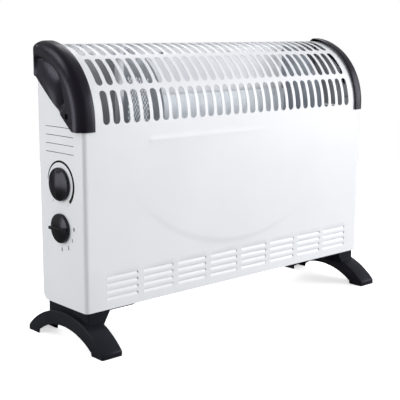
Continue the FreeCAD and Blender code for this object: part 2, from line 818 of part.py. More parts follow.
def selector_tabs():
    """Flat push-on terminals at the back of the selector."""
    x = -half_width + sheet + selector_deep
    tabs = []
    for i in range(selector_tab_count):
        y = control_y + (i - (selector_tab_count - 1) / 2) * tab_pitch
        tabs.append(block(x, x + tab_length, y - tab_thick / 2, y + tab_thick / 2,
                          selector_z - tab_width / 2, selector_z + tab_width / 2))
    return Part.makeCompound(tabs)


def bulkhead_seats():
    """Screws from below that hold the two bulkheads' folded feet."""
    y = body_depth / 4
    seats = []
    for x, out in ((left_bulkhead_x, -1), (right_bulkhead_x, 1)):
        for side in (-1, 1):
            seats.append(Vector(x + out * (sheet + bulkhead_foot / 2), side * y, body_lift))
    return seats


def bulkhead(x, out):
    """Upright sheet across the body; out is the side that its foot is folded to."""
    x0 = min(x, x + out * sheet)
    y0 = front_y + bulkhead_gap
    y1 = rear_y - bulkhead_gap
    wall = block(x0, x0 + sheet, y0, y1, floor_top, curve_z)
    dome = rod(Vector(x0, rear_y, curve_z), AXIS_X, curve_radius - sheet - bulkhead_top_gap, sheet)
    dome = dome.common(block(x0, x0 + sheet, y0, y1, curve_z, curve_z + curve_radius - top_bend))
    foot_x = sorted((x, x + out * (sheet + bulkhead_foot)))
    margin = base_flange
    foot = block(foot_x[0], foot_x[1], y0 + margin, y1 - margin, floor_top, floor_top + sheet)
    holes = screw_holes(bulkhead_seats(), AXIS_Z, 3 * sheet)
    for height in (low_element_height, high_element_height):
        start = Vector(x0 - past, 0, body_lift + height)
        holes.append(rod(start, AXIS_X, bush_outer + seam / 2, sheet + 2 * past))
    return wall.fuse([dome, foot]).cut(holes).removeSplitter()


def mesh_window(x0, x1, border):
    """Opening in the left bulkhead that the mesh covers, or the mesh sheet with its border."""
    return block(x0, x1, front_y + mesh_front - border, front_y + mesh_rear + border,
                 body_lift + mesh_low - border, body_lift + mesh_high + border)


def left_bulkhead():
    window = mesh_window(left_bulkhead_x - 2 * sheet, left_bulkhead_x + sheet, 0)
    hole = rod(Vector(left_bulkhead_x - 2 * sheet, front_y + cutout_back, body_lift + cutout_height), AXIS_X,
               cutout_nose, 4 * sheet)
    return bulkhead(left_bulkhead_x, -1).cut([window, hole])


def bulkhead_mesh():
    """Diamond mesh over the window, one sheet with staggered rows of openings."""
    x = left_bulkhead_x - 2 * sheet
    y0 = front_y + mesh_front
    z0 = body_lift + mesh_low
    columns = int((mesh_rear - mesh_front) / mesh_pitch_y)
    rows = int((mesh_high - mesh_low) / mesh_pitch_z)
    half_y = (mesh_pitch_y - mesh_strand) / 2
    half_z = (mesh_pitch_z - mesh_strand) / 2
    edge_y = (mesh_rear - mesh_front - columns * mesh_pitch_y) / 2
    edge_z = (mesh_high - mesh_low - rows * mesh_pitch_z) / 2
    outline = Part.Wire(polygon([
        Vector(x, y0 - mesh_border, z0 - mesh_border),
        Vector(x, y0 + mesh_rear - mesh_front + mesh_border, z0 - mesh_border),
        Vector(x, y0 + mesh_rear - mesh_front + mesh_border, z0 + mesh_high - mesh_low + mesh_border),
        Vector(x, y0 - mesh_border, z0 + mesh_high - mesh_low + mesh_border),
    ]))
    gaps = []
    for row in range(2 * rows - 1):
        shift = row % 2
        for column in range(columns - shift):
            y = y0 + edge_y + (column + 0.5 + shift / 2) * mesh_pitch_y
            z = z0 + edge_z + (row + 1) * mesh_pitch_z / 2
            gaps.append(Part.Wire(polygon([
                Vector(x, y - half_y, z), Vector(x, y, z + half_z),
                Vector(x, y + half_y, z), Vector(x, y, z - half_z),
            ])))
    return Part.Face([outline] + gaps).extrude(AXIS_X * sheet)


def reflector(y, high, hem_side):
    """Bright sheet between the bulkheads, with its upper edge folded over."""
    z0 = body_lift + reflector_low
    z1 = body_lift + high
    panel = block(left_bulkhead_x, right_bulkhead_x, y, y + sheet, z0, z1)
    fold = sorted((y + sheet / 2, y + sheet / 2 + hem_side * 2 * sheet))
    fold_panel = block(left_bulkhead_x + 2 * sheet, right_bulkhead_x, fold[0], fold[1], z1 - hem, z1)
    return panel.fuse(fold_panel).removeSplitter()


def element_fins(height):
    """Cast aluminium body with four crossed fins and a bore for the heating rod."""
    x0 = left_bulkhead_x + fin_end_gap
    length = right_bulkhead_x - fin_end_gap - x0
    centre = Vector(x0, 0, body_lift + height)
    body = rod(centre, AXIS_X, fin_core, length)
    for turn in (45, 135):
        fin = block(x0, x0 + length, -fin_reach, fin_reach,
                    centre.z - fin_thick / 2, centre.z + fin_thick / 2)
        fin.rotate(centre, AXIS_X, turn)
        body = body.fuse(fin)
    return body.cut(rod(centre, AXIS_X, rod_radius, length)).removeSplitter()


def element_rod(height):
    """Sheathed heating rod with a thinner terminal pin at each end."""
    x0 = left_bulkhead_x - rod_overhang
    x1 = right_bulkhead_x + rod_overhang
    z = body_lift + height
    pin = rod_overhang / 2
    sheath = rod(Vector(x0 + pin, 0, z), AXIS_X, rod_radius, x1 - x0 - 2 * pin)
    pins = [
        rod(Vector(x0, 0, z), AXIS_X, rod_radius / 2, pin),
        rod(Vector(x1 - pin, 0, z), AXIS_X, rod_radius / 2, pin),
    ]
    return sheath.fuse(pins)


def element_bushes():
    """Ceramic bushes that carry the rods in both bulkheads."""
    bushes = []
    for height in (low_element_height, high_element_height):
        z = body_lift + height
        for x, out in ((left_bulkhead_x, -1), (right_bulkhead_x, 1)):
            inner = x - out * bush_flange_thick
            axis = AXIS_X * out
            bush = rod(Vector(inner, 0, z), axis, bush_flange, bush_flange_thick)
            nose_length = bush_flange_thick + sheet + bush_nose
            bush = bush.fuse(rod(Vector(inner, 0, z), axis, bush_outer, nose_length))
            bushes.append(bush.cut(rod(Vector(inner, 0, z), axis, rod_radius, 2 * bush_flange + bush_nose)))
    return Part.makeCompound(bushes)


def thermal_cutout():
    """Disc cut-out on the control side of the left bulkhead, its disc facing the heat."""
    x = left_bulkhead_x - sheet
    y = front_y + cutout_back
    z = body_lift + cutout_height
    disc = rod(Vector(x - cutout_deep, y, z), AXIS_X, cutout_radius, cutout_deep)
    nose = rod(Vector(x, y, z), AXIS_X, cutout_nose - seam, 2 * sheet)
    ear = block(x - sheet, x, y - cutout_ear / 2, y + cutout_ear / 2,
                z - cutout_radius / 2, z + cutout_radius / 2)
    tabs = []
    for side in (-1, 1):
        tab_y = y + side * cutout_radius / 2
        tabs.append(block(x - cutout_deep - tab_length, x - cutout_deep, tab_y - tab_thick / 2,
                          tab_y + tab_thick / 2, z - tab_width / 2, z + tab_width / 2))
    return disc.fuse([nose, ear] + tabs)


def terminal_block():
    """Connector block on the base plate, with a screw well and a wire hole for each way."""
    x0 = -half_width + terminal_from_side
    y = terminal_wide
    body = block(x0, x0 + terminal_long, y - terminal_wide / 2, y + terminal_wide / 2,
                 floor_top, floor_top + terminal_tall)
    pitch = terminal_long / terminal_ways
    holes = []
    for i in range(terminal_ways):
        x = x0 + (i + 0.5) * pitch
        wire_z = floor_top + terminal_tall / 2
        holes.append(rod(Vector(x, y - terminal_wide, wire_z), AXIS_Y, terminal_bore, 2 * terminal_wide))
        holes.append(rod(Vector(x, y, wire_z), AXIS_Z, terminal_well, terminal_tall))
    return body.cut(holes)


def cord_gland():
    """Bush through the rear panel for a mains lead, held by a nut inside."""
    x = -half_width + gland_from_side
    z = gland_z
    start = casing_rear - gland_tail
    body = rod(Vector(x, start, z), AXIS_Y, gland_body, gland_tail + sheet)
    collar = rod(Vector(x, rear_y, z), AXIS_Y, gland_collar, gland_collar_thick)
    collar = collar.makeChamfer(gland_collar_thick / 3, [collar.Edges[0]])
    nut_points = []
    for i in range(6):
        turn = math.radians(60 * i)
        nut_points.append(Vector(x + gland_collar * math.cos(turn), casing_rear - gland_nut_thick,
                                 z + gland_collar * math.sin(turn)))
    nut = prism(polygon(nut_points), AXIS_Y * gland_nut_thick)
    bore = rod(Vector(x, start, z), AXIS_Y, gland_bore, gland_tail + sheet + gland_collar_thick)
    return body.fuse([collar, nut]).cut(bore)


def screw_group(seats, axis):
    """Equal screws in one group."""
    return Part.makeCompound([screw(seat, axis) for seat in seats])


def cap_screws():
    """The screw in each cap."""
    left = screw(cap_screw_seat(), -AXIS_X)
    return Part.makeCompound([left, mirrored(left)])


def pieces():
    """Every node of the heater by name."""
    left_cap = left_end_cap()
    foot = left_foot()
    return {
        "front_casing": front_casing(),
        "rear_panel": rear_panel(),
        "base_plate": base_plate(),
        "left_end_cap": left_cap,
        "right_end_cap": mirrored(left_cap),
        "left_foot": foot,
        "right_foot": mirrored(foot),
        "thermostat_knob": knob(thermostat_knob_radius, thermostat_z, 0),
        "selector_knob": knob(selector_knob_radius, selector_z, 90 - selector_tilt),
        "thermostat_spindle": spindle(thermostat_z),
        "selector_spindle": spindle(selector_z),
        "thermostat_body": thermostat_body(),
        "thermostat_blade": thermostat_blade(),
        "selector_body": selector_body(),
        "selector_tabs": selector_tabs(),
        "left_bulkhead": left_bulkhead(),
        "right_bulkhead": bulkhead(right_bulkhead_x, 1),
        "bulkhead_mesh": bulkhead_mesh(),
        "rear_reflector": reflector(rear_y - reflector_gap, rear_reflector_high, -1),
        "front_reflector": reflector(front_y + reflector_gap, front_reflector_high, 1),
        "low_element_fins": element_fins(low_element_height),
        "low_element_rod": element_rod(low_element_height),
        "high_element_fins": element_fins(high_element_height),
        "high_element_rod": element_rod(high_element_height),
        "element_bushes": element_bushes(),
        "thermal_cutout": thermal_cutout(),
        "terminal_block": terminal_block(),
        "cord_gland": cord_gland(),
        "cap_screws": cap_screws(),
        "control_screws": screw_group(control_seats(), -AXIS_X),
        "rear_screws": screw_group(rear_seats(), AXIS_Y),
        "foot_screws": screw_group(foot_seats(), -AXIS_Z),
        "bulkhead_screws": screw_group(bulkhead_seats(), -AXIS_Z),
    }


def main():
    os.makedirs("parts", exist_ok=True)
    for name, shape in pieces().items():
        box = shape.BoundBox
        print(name, "solids", len(shape.Solids), "valid", shape.isValid(), "volume", round(shape.Volume),
              "x", round(box.XMin, 1), round(box.XMax, 1), "y", round(box.YMin, 1), round(box.YMax, 1),
              "z", round(box.ZMin, 1), round(box.ZMax, 1))
        shape.exportStep("parts/" + name + ".step")


main()
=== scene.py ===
# %% [markdown]
# # A convector heater, dressed for its portrait
# The heater is a white sheet-metal box with a slotted, curved top, black moulded end caps and feet, and two
# knobs on its left side. Its construction comes in as a fixed frame. This lesson gives every surface its
# look: the big sheets are punched and bent again with fine, smooth meshes, the mouldings get their soft
# edges, and each finish is a small network of shader nodes.

# %% Load the frame
import json
import math

import bmesh
import bpy
from mathutils import Matrix, Vector


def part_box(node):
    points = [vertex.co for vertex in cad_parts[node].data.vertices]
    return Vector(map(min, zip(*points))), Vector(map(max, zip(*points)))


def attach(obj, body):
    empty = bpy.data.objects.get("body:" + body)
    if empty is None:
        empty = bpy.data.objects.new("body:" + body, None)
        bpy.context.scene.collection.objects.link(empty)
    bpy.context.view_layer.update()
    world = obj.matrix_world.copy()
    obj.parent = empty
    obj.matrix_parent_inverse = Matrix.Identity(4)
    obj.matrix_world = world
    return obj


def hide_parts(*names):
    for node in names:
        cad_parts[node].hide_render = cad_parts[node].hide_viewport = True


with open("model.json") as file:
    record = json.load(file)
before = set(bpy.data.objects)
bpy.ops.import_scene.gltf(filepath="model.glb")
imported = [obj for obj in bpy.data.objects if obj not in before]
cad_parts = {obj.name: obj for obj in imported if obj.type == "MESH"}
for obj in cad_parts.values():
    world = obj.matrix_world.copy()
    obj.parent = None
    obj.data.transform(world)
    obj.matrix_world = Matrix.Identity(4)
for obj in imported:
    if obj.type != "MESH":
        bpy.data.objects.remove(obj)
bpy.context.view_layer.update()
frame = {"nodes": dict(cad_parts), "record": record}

# %% [markdown]
# ## Sizes
# Everything is in metres, and a millimetre is the handy unit for sheet metal. The outer sizes are read from
# the frame, so the new meshes follow it. The rest are the sizes that the frame can't tell, such as the pitch
# of the slots.

# %% Sizes of the body
mm = 0.001
casing_low, casing_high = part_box("front_casing")
half_width = casing_high.x
rear_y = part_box("rear_panel")[1].y
front_y = -rear_y
body_lift = casing_low.z
sheet = 0.7 * mm
casing_rear = rear_y - sheet
curve_radius = rear_y - front_y
front_height = 248 * mm
curve_z = body_lift + front_height
corner_radius = 6 * mm
top_bend = 8 * mm
print("body", round(2 * half_width, 4), "wide,", round(curve_radius, 4), "deep")

# %% [markdown]
# ## Small helpers
# A bmesh is Blender's mesh while it is being edited. The helpers below turn a finished bmesh into an object
# that rides on a body of the frame, shade it smooth except along real edges, and lay out a flat grid whose
# lines can be placed freely. Such a grid is like a sheet of metal that has been scribed before it is punched.

# %% Helpers for pieces
plain_edge_angle = 35


def add_object(name, data):
    """New object with its data, in the scene."""
    made = bpy.data.objects.new(name, data)
    bpy.context.scene.collection.objects.link(made)
    return made


def mesh_object(name, bm):
    """Object from a bmesh, in place."""
    mesh = bpy.data.meshes.new(name)
    bm.to_mesh(mesh)
    bm.free()
    return add_object(name, mesh)


def finish_piece(name, bm, material, body, smooth_angle=plain_edge_angle):
    """Object from a bmesh, shaded smooth up to an angle, riding on a body."""
    piece = mesh_object(name, bm)
    piece.data.materials.append(material)
    piece.data.shade_smooth()
    piece.data.set_sharp_from_angle(angle=math.radians(smooth_angle))
    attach(piece, body)
    return piece


def bake(piece, smooth_angle):
    """Puts the result of the modifiers into the mesh and marks its real edges again."""
    graph = bpy.context.evaluated_depsgraph_get()
    piece.data = bpy.data.meshes.new_from_object(piece.evaluated_get(graph))
    piece.modifiers.clear()
    piece.data.set_sharp_from_angle(angle=math.radians(smooth_angle))


def add_thickness(piece, thickness, smooth_angle=plain_edge_angle, even=True):
    """Wall that grows inwards from the outer face."""
    wall = piece.modifiers.new("wall", "SOLIDIFY")
    wall.thickness = thickness
    wall.offset = -1
    wall.use_even_offset = even
    bake(piece, smooth_angle)


print("piece helpers ready")


# %% Helpers for grids and lines
def scribed_grid(bm, across, along):
    """Flat grid with one vertex at each crossing of the given lines."""
    columns, rows = len(across) - 1, len(along) - 1
    verts = bmesh.ops.create_grid(bm, x_segments=columns, y_segments=rows, size=1)["verts"]
    for vert in verts:
        column = round((vert.co.x + 1) / 2 * columns)
        row = round((vert.co.y + 1) / 2 * rows)
        vert.co = (across[column], along[row], 0)
    return verts


def spread(start, end, count):
    """Evenly spaced lines from start to end, both included."""
    return [start + (end - start) * i / (count - 1) for i in range(count)]


def ease(share):
    """Smooth step from 0 to 1."""
    share = min(1, max(0, share))
    return share * share * (3 - 2 * share)


print("five lines:", spread(0, 1, 5), "eased:", [ease(share) for share in spread(0, 1, 5)])

# %% [markdown]
# ## Shared shader groups
# Several finishes need the same two effects: a slow, cloudy variation, because no real surface is one flat
# value, and a fine grain that a moulding tool or a spray gun leaves. Each is a node group with named sockets,
# built once and placed in many materials with its own numbers. A node's inputs are given as a table: a number
# is set on the socket, and the output of another node is linked to it.


# %% Helpers for nodes
def fill_inputs(tree, node, inputs):
    """Sets each input of a node to a value, or links it to another node's output."""
    for socket, value in inputs.items():
        if isinstance(value, bpy.types.NodeSocket):
            tree.links.new(value, node.inputs[socket])
        else:
            node.inputs[socket].default_value = value


def add_node(tree, kind, inputs, **settings):
    """Shader node with its settings, then its inputs."""
    node = tree.nodes.new("ShaderNode" + kind)
    for setting, value in settings.items():
        setattr(node, setting, value)
    fill_inputs(tree, node, inputs)
    return node


def object_place(tree):
    """Output with the place of a point on its object."""
    return add_node(tree, "TexCoord", {}).outputs["Object"]


def maths(tree, operation, first, second):
    """Output of a calculation with two values."""
    return add_node(tree, "Math", {0: first, 1: second}, operation=operation).outputs["Value"]


def ranged(tree, value, low, high):
    """Output that goes from low to high while the value goes from 0 to 1."""
    return add_node(tree, "MapRange", {"Value": value, "To Min": low, "To Max": high}).outputs["Result"]


print("node helpers ready")


# %% Cloud and grain groups
def new_group(name, inputs, output):
    """Shader group with float inputs and one float output, and its sockets."""
    group = bpy.data.node_groups.new(name, "ShaderNodeTree")
    for socket, default in inputs.items():
        entry = group.interface.new_socket(socket, in_out="INPUT", socket_type="NodeSocketFloat")
        entry.default_value = default
    group.interface.new_socket(output, in_out="OUTPUT", socket_type="NodeSocketFloat")
    given = group.nodes.new("NodeGroupInput").outputs
    result = group.nodes.new("NodeGroupOutput").inputs[output]
    return group, given, result


def cloud_group():
    """Slow mottling between two values, in object space."""
    group, given, result = new_group("slow cloud", {"Scale": 20, "Low": 0, "High": 1}, "Value")
    noise = add_node(group, "TexNoise", {"Vector": object_place(group), "Scale": given["Scale"], "Detail": 3})
    spans = add_node(group, "MapRange", {
        "Value": noise.outputs["Fac"], "From Min": 0.3, "From Max": 0.7,
        "To Min": given["Low"], "To Max": given["High"]})
    group.links.new(spans.outputs["Result"], result)
    return group


def grain_group():
    """Fine height field with a coarse and a fine share."""
    group, given, result = new_group("fine grain", {"Scale": 1500, "Softness": 0.5}, "Height")
    place = object_place(group)
    third = maths(group, "DIVIDE", given["Scale"], 3)
    fine = add_node(group, "TexNoise", {"Vector": place, "Scale": given["Scale"], "Detail": 2})
    coarse = add_node(group, "TexNoise", {"Vector": place, "Scale": third, "Detail": 1})
    blend = add_node(group, "Mix", {
        "Factor": given["Softness"], "A": fine.outputs["Fac"], "B": coarse.outputs["Fac"]})
    group.links.new(blend.outputs["Result"], result)
    return group


slow_cloud = cloud_group()
fine_grain = grain_group()
print("groups:", [group.name for group in bpy.data.node_groups])

# %% [markdown]
# ## Finishes
# Every finish starts from the Principled shader. What is the same all over the surface is set on the shader's
# own sockets. What changes over the surface, such as a tint, a roughness or a bump, comes from the groups.


# %% Helpers for finishes
def set_shader(material, inputs):
    """Values and links for the Principled shader of a material."""
    fill_inputs(material.node_tree, material.node_tree.nodes["Principled BSDF"], inputs)


def new_finish(name, inputs):
    """Material with a Principled shader and its plain values."""
    material = bpy.data.materials.new(name)
    material.use_nodes = True
    set_shader(material, inputs)
    return material


def use_group(material, group, **values):
    """Output of a group that is placed in a material with its own input values."""
    return add_node(material.node_tree, "Group", values, node_tree=group).outputs[0]


def mixed_tone(material, factor, first, second):
    """Colour output between two tones."""
    tones = {"Factor": factor, "A": first, "B": second}
    return add_node(material.node_tree, "Mix", tones, data_type="RGBA").outputs["Result"]


def tint_between(material, dark, light, scale):
    """Base colour that drifts slowly between two tones."""
    cloud = use_group(material, slow_cloud, Scale=scale)
    set_shader(material, {"Base Color": mixed_tone(material, cloud, (*dark, 1), (*light, 1))})


def rough_between(material, low, high, scale):
    """Roughness that drifts slowly between two values."""
    set_shader(material, {"Roughness": use_group(material, slow_cloud, Scale=scale, Low=low, High=high)})


def grain_bump(material, scale, softness, strength, distance):
    """Bump from the fine grain."""
    grain = use_group(material, fine_grain, Scale=scale, Softness=softness)
    bump = add_node(material.node_tree, "Bump", {"Height": grain, "Strength": strength, "Distance": distance})
    set_shader(material, {"Normal": bump.outputs["Normal"]})


def grained_finish(name, inputs, tint, rough, grain):
    """Material with plain shader values, and with what the three functions above need."""
    material = new_finish(name, inputs)
    tint_between(material, *tint)
    rough_between(material, *rough)
    grain_bump(material, *grain)
    return material


print("finish helpers ready")

# %% [markdown]
# The casing has a baked powder coat, which the spray leaves with a faint orange peel. A clear coat over a
# slightly rough white gives its soft gloss. The black pieces carry the fine texture of their moulding tool.
# The knobs are smoother and blacker than the caps, so each of the mouldings gets its own numbers. Inside, the
# rear panel is painted dark grey beside the heat chamber, as painted shade for the unlit compartments at the
# ends: two limits along X and one along Y make the mask for it.


# %% White enamel and black mouldings
def white_enamel(name):
    """Baked powder coat: bright, slightly cool, with the faint orange peel of the spray."""
    return grained_finish(name, {"Coat Weight": 0.25, "Coat Roughness": 0.12},
                          ((0.795, 0.81, 0.845), (0.825, 0.84, 0.875), 9), (0.3, 0.38, 30),
                          (420, 0.6, 0.12, 0.2 * mm))


def black_moulding(name, dark, light, rough, grain_strength, specular=0.4):
    """Moulded plastic with the fine texture of its tool, and a faint violet cast in its gloss."""
    return grained_finish(name, {"Specular IOR Level": specular, "Specular Tint": (0.84, 0.81, 1, 1)},
                          (dark, light, 25), (rough - 0.05, rough + 0.05, 40),
                          (2600, 0.35, grain_strength, 0.15 * mm))


def painted_shade_ends(plane_y, chamber):
    """Enamel on a sheet across Y, with a dull grey painted shade inside, left and right of the heat chamber.
    """
    material = white_enamel("painted shade ends")
    tree = material.node_tree
    paint = tree.nodes["Principled BSDF"].inputs["Base Color"].links[0].from_socket
    parts = add_node(tree, "SeparateXYZ", {"Vector": object_place(tree)}).outputs
    inside = maths(tree, "LESS_THAN", parts["Y"], plane_y)
    left_of = maths(tree, "LESS_THAN", parts["X"], chamber[0])
    right_of = maths(tree, "GREATER_THAN", parts["X"], chamber[1])
    shade_mask = maths(tree, "MULTIPLY", inside, maths(tree, "MAXIMUM", left_of, right_of))
    # Dark grey painted shade where the end compartments lie unlit.
    set_shader(material, {"Base Color": mixed_tone(material, shade_mask, paint, (0.29, 0.30, 0.315, 1))})
    return material


enamel = white_enamel("white enamel")
heat_chamber = (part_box("left_bulkhead")[0].x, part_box("right_bulkhead")[1].x)
rear_enamel_painted_shade = painted_shade_ends(rear_y - sheet / 2, heat_chamber)
cap_plastic = black_moulding("black moulding", (0.0072, 0.0062, 0.0098), (0.0100, 0.0088, 0.0134), 0.3, 0.2)
foot_plastic = black_moulding("foot moulding", (0.0112, 0.0120, 0.0160), (0.0142, 0.0152, 0.0200), 0.34, 0.25,
                              specular=0.2)
knob_plastic = black_moulding("knob moulding", (0.003, 0.003, 0.0033), (0.005, 0.005, 0.0053), 0.24, 0.06)
print(enamel.name, cap_plastic.name, foot_plastic.name, knob_plastic.name)

# %% [markdown]
# The reflectors and bulkheads are galvanised sheet. Its zinc sets in flat crystals, the spangle, and a
# Voronoi texture has such cells: each gets its own tone and polish. The elements, screws and spindles are
# bare metals that only differ in tone and polish, so one function makes them all.


# %% Metals
def galvanised():
    """Dull zinc coat on sheet: flat crystals that each catch the light a little differently."""
    material = new_finish("galvanised sheet", {"Metallic": 0.35})
    tree = material.node_tree
    spangle = add_node(tree, "TexVoronoi", {"Vector": object_place(tree), "Scale": 110}).outputs["Color"]
    set_shader(material, {
        "Base Color": mixed_tone(material, spangle, (0.69, 0.73, 0.77, 1), (0.78, 0.82, 0.86, 1)),
        "Roughness": ranged(tree, spangle, 0.30, 0.48)})
    return material


def plain_metal(name, dark, light, low, high):
    """Bare metal with a slow drift of tone and polish."""
    return grained_finish(name, {"Metallic": 1}, (dark, light, 60), (low, high, 90),
                          (900, 0.5, 0.08, 0.1 * mm))


zinc_sheet = galvanised()
# Darker zinc, painted shade for the unlit compartment at the right end of the grille.
shade_darkened_zinc = plain_metal("zinc darkened as painted shade", (0.36, 0.385, 0.42), (0.45, 0.475, 0.51), 0.4, 0.55)
cast_aluminium = plain_metal("cast aluminium", (0.55, 0.56, 0.57), (0.66, 0.67, 0.68), 0.35, 0.5)
plated_steel = plain_metal("zinc plated steel", (0.50, 0.50, 0.51), (0.62, 0.62, 0.63), 0.22, 0.35)
turned_brass = plain_metal("turned brass", (0.62, 0.44, 0.18), (0.72, 0.54, 0.25), 0.2, 0.32)
print(zinc_sheet.name, shade_darkened_zinc.name, cast_aluminium.name, plated_steel.name, turned_brass.name)

# %% [markdown]
# The bushes are fired steatite, the control bodies are brown phenolic, and the dial is printed with black
# ink. All three are dull, with a fine, dry surface.


# %% Ceramic, phenolic and ink
def dry_finish(name, dark, light, rough, specular=0.4):
    """Dull moulded, fired or printed material."""
    return grained_finish(name, {"Specular IOR Level": specular}, (dark, light, 45),
                          (rough - 0.06, rough + 0.06, 70), (1400, 0.5, 0.15, 0.15 * mm))


steatite = dry_finish("steatite", (0.66, 0.62, 0.53), (0.74, 0.70, 0.60), 0.55)
phenolic = dry_finish("phenolic", (0.045, 0.034, 0.028), (0.062, 0.048, 0.04), 0.5)
dial_ink = dry_finish("dial ink", (0.003, 0.003, 0.0035), (0.005, 0.005, 0.0055), 0.5, specular=0.15)
print(steatite.name, phenolic.name, dial_ink.name)

# %% [markdown]
# ## Dressing the frame's own pieces
# Many pieces of the frame already have the right shape: flat inner sheets, screws, spindles and control
# bodies. They keep their meshes and only get a finish, chosen by the slot that the record names for each of
# them. What has no slot in the table is phenolic. Two sheets that show through the slots get darker finishes
# than the rest of their kind, as painted shade for the unlit compartments beside the heat chamber, so they
# are set by name.

# %% Finish for every node
slot_finish = {
    "white_enamel": enamel,
    "black_plastic": cap_plastic,
    "knob_plastic": knob_plastic,
    "galvanised_sheet": zinc_sheet,
    "cast_aluminium": cast_aluminium,
    "plated_steel": plated_steel,
    "brass": turned_brass,
    "ceramic": steatite,
}
for part in frame["record"]["subparts"]:
    node = frame["nodes"][part["node"]]
    node.data.materials.clear()
    node.data.materials.append(slot_finish.get(part["material_slot"], phenolic))
# Painted shade: the inside of the rear panel is dark grey beside the heat chamber.
frame["nodes"]["rear_panel"].data.materials[0] = rear_enamel_painted_shade
# Painted shade: the right bulkhead gets a darker zinc than the left one, for its unlit compartment.
frame["nodes"]["right_bulkhead"].data.materials[0] = shade_darkened_zinc

# %% [markdown]
# ## The casing, part one: the grille
# On the real heater one steel sheet is punched flat, then rolled over the top and folded round the front
# corners. The mesh is made the same way. A flat grid gets its lines where the slots will be, the faces inside
# a slot are deleted, and the vertices along it are drawn to its rounded outline. Only then is the sheet bent.
# Cutting holes in a curved mesh with booleans would be shorter, but it leaves slivers that shade badly.

# %% Slot layout, on the flat sheet
slot_count = 30
slot_rows = 3
slot_pitch = 16.73 * mm
slot_half = 5.5 * mm
slot_row_gap = 6.9 * mm
grille_margin = 11.4 * mm
row_length = (math.pi / 2 * curve_radius - grille_margin - (slot_rows - 1) * slot_row_gap) / slot_rows
row_starts = [front_height + row * (row_length + slot_row_gap) for row in range(slot_rows)]
slot_middles = [(column - (slot_count - 1) / 2) * slot_pitch for column in range(slot_count)]


def slot_opening(along):
    """Half width of the slot that the place along the sheet falls in, or 0."""
    for start in row_starts:
        inside = min(along - start, start + row_length - along)
        if inside > 0:
            short = max(0, slot_half - inside)
            return math.sqrt(slot_half ** 2 - short ** 2)
    return 0


print("slot", round(row_length / mm, 1), "by", round(2 * slot_half / mm, 1), "mm, in", slot_rows, "rows")

# %% [markdown]
# The bend over the top is a large arc from the front, then a small one that turns down at the back. The sheet
# keeps its length, so a place along the flat sheet becomes an angle on one of the arcs.

# %% The bend over the top
small_y = casing_rear - top_bend
small_z = curve_z + math.sqrt((curve_radius - top_bend) ** 2 - (rear_y - small_y) ** 2)
turn_angle = math.atan2(small_z - curve_z, small_y - rear_y)
curve_length = curve_radius * (math.pi - turn_angle)
curve_end = front_height + curve_length
bend_length = top_bend * turn_angle


def over_the_top(along):
    """(y, z) of a place along the sheet, measured from its lower edge."""
    past = along - front_height
    if past <= 0:
        return front_y, body_lift + along
    if past <= curve_length:
        angle = math.pi - past / curve_radius
        return rear_y + curve_radius * math.cos(angle), curve_z + curve_radius * math.sin(angle)
    past -= curve_length
    if past <= bend_length:
        angle = turn_angle - past / top_bend
        return small_y + top_bend * math.cos(angle), small_z + top_bend * math.sin(angle)
    return casing_rear, small_z - (past - bend_length)


bend_heights = [over_the_top(along)[1] for along in spread(curve_end, curve_end + bend_length, 12)]
print("top of the bend", round(max(bend_heights), 4))

# %% [markdown]
# The slots are punched in the flat grid. Its lines lie close together in the round ends of a slot and further
# apart along its straight sides, so the faces go where the outline turns.

# %% Punch the grille
end_steps = 5
straight_steps = 7
top_steps = 3
bend_steps = 6
top_flange = 14 * mm
near = 0.001 * mm


def slot_lines():
    """Lines along the sheet for all rows: close together in the round ends."""
    lines = []
    end_bow = [slot_half * (1 - math.cos(math.pi / 2 * i / end_steps)) for i in range(end_steps + 1)]
    for start in row_starts:
        lines += [start + bow for bow in end_bow]
        lines += spread(start + slot_half, start + row_length - slot_half, straight_steps + 2)[1:-1]
        lines += [start + row_length - bow for bow in reversed(end_bow)]
    return lines


def grille_sheet(bm, lower, reach):
    """Flat grille from a lower line on the front to the end of the flange at the back."""
    across = [-reach]
    for middle in slot_middles:
        across += [middle - slot_pitch / 2, middle - slot_half, middle, middle + slot_half]
    across += [slot_middles[-1] + slot_pitch / 2, reach]
    end = curve_end + bend_length + top_flange
    top_lines = spread(row_starts[-1] + row_length, curve_end, top_steps + 1)[1:]
    turn_lines = spread(curve_end, end - top_flange, bend_steps + 1)[1:]
    verts = scribed_grid(bm, across, [lower] + slot_lines() + top_lines + turn_lines + [end])
    holes = []
    for face in bm.faces:
        spot = face.calc_center_median()
        offset = min(abs(spot.x - middle) for middle in slot_middles)
        if offset < slot_half and slot_opening(spot.y) > 0:
            holes.append(face)
    bmesh.ops.delete(bm, geom=holes, context="FACES_ONLY")
    kept = [vert for vert in verts if vert.link_faces]
    bmesh.ops.delete(bm, geom=[vert for vert in verts if not vert.link_faces], context="VERTS")
    slot_tips = [tip for start in row_starts for tip in (start, start + row_length)]
    for vert in kept:
        middle = min(slot_middles, key=lambda m: abs(vert.co.x - m))
        offset = vert.co.x - middle
        at_tip = min(abs(vert.co.y - tip) for tip in slot_tips) < near
        opening = slot_opening(vert.co.y)
        if abs(abs(offset) - slot_half) < near and (opening > 0 or at_tip):
            vert.co.x = middle + math.copysign(opening, offset)
    bmesh.ops.remove_doubles(bm, verts=kept, dist=near)


print("grille helper ready")

# %% [markdown]
# ## The casing, part two: louvres, relief and folds
# Below the grille the same sheet has a field of louvres and a shallow pressed relief. A louvre is a blade
# that stays joined along its lower edge: its other edges are split from the sheet and its top is pushed in.
# The press also draws the edge above it in a little, which shows as a fine dark line. The relief needs a fine
# grid of its own, because a soft slope shows every facet. Bands with different lines are joined by bridging
# their edge loops on flat strips, where the triangles between them can't be seen.

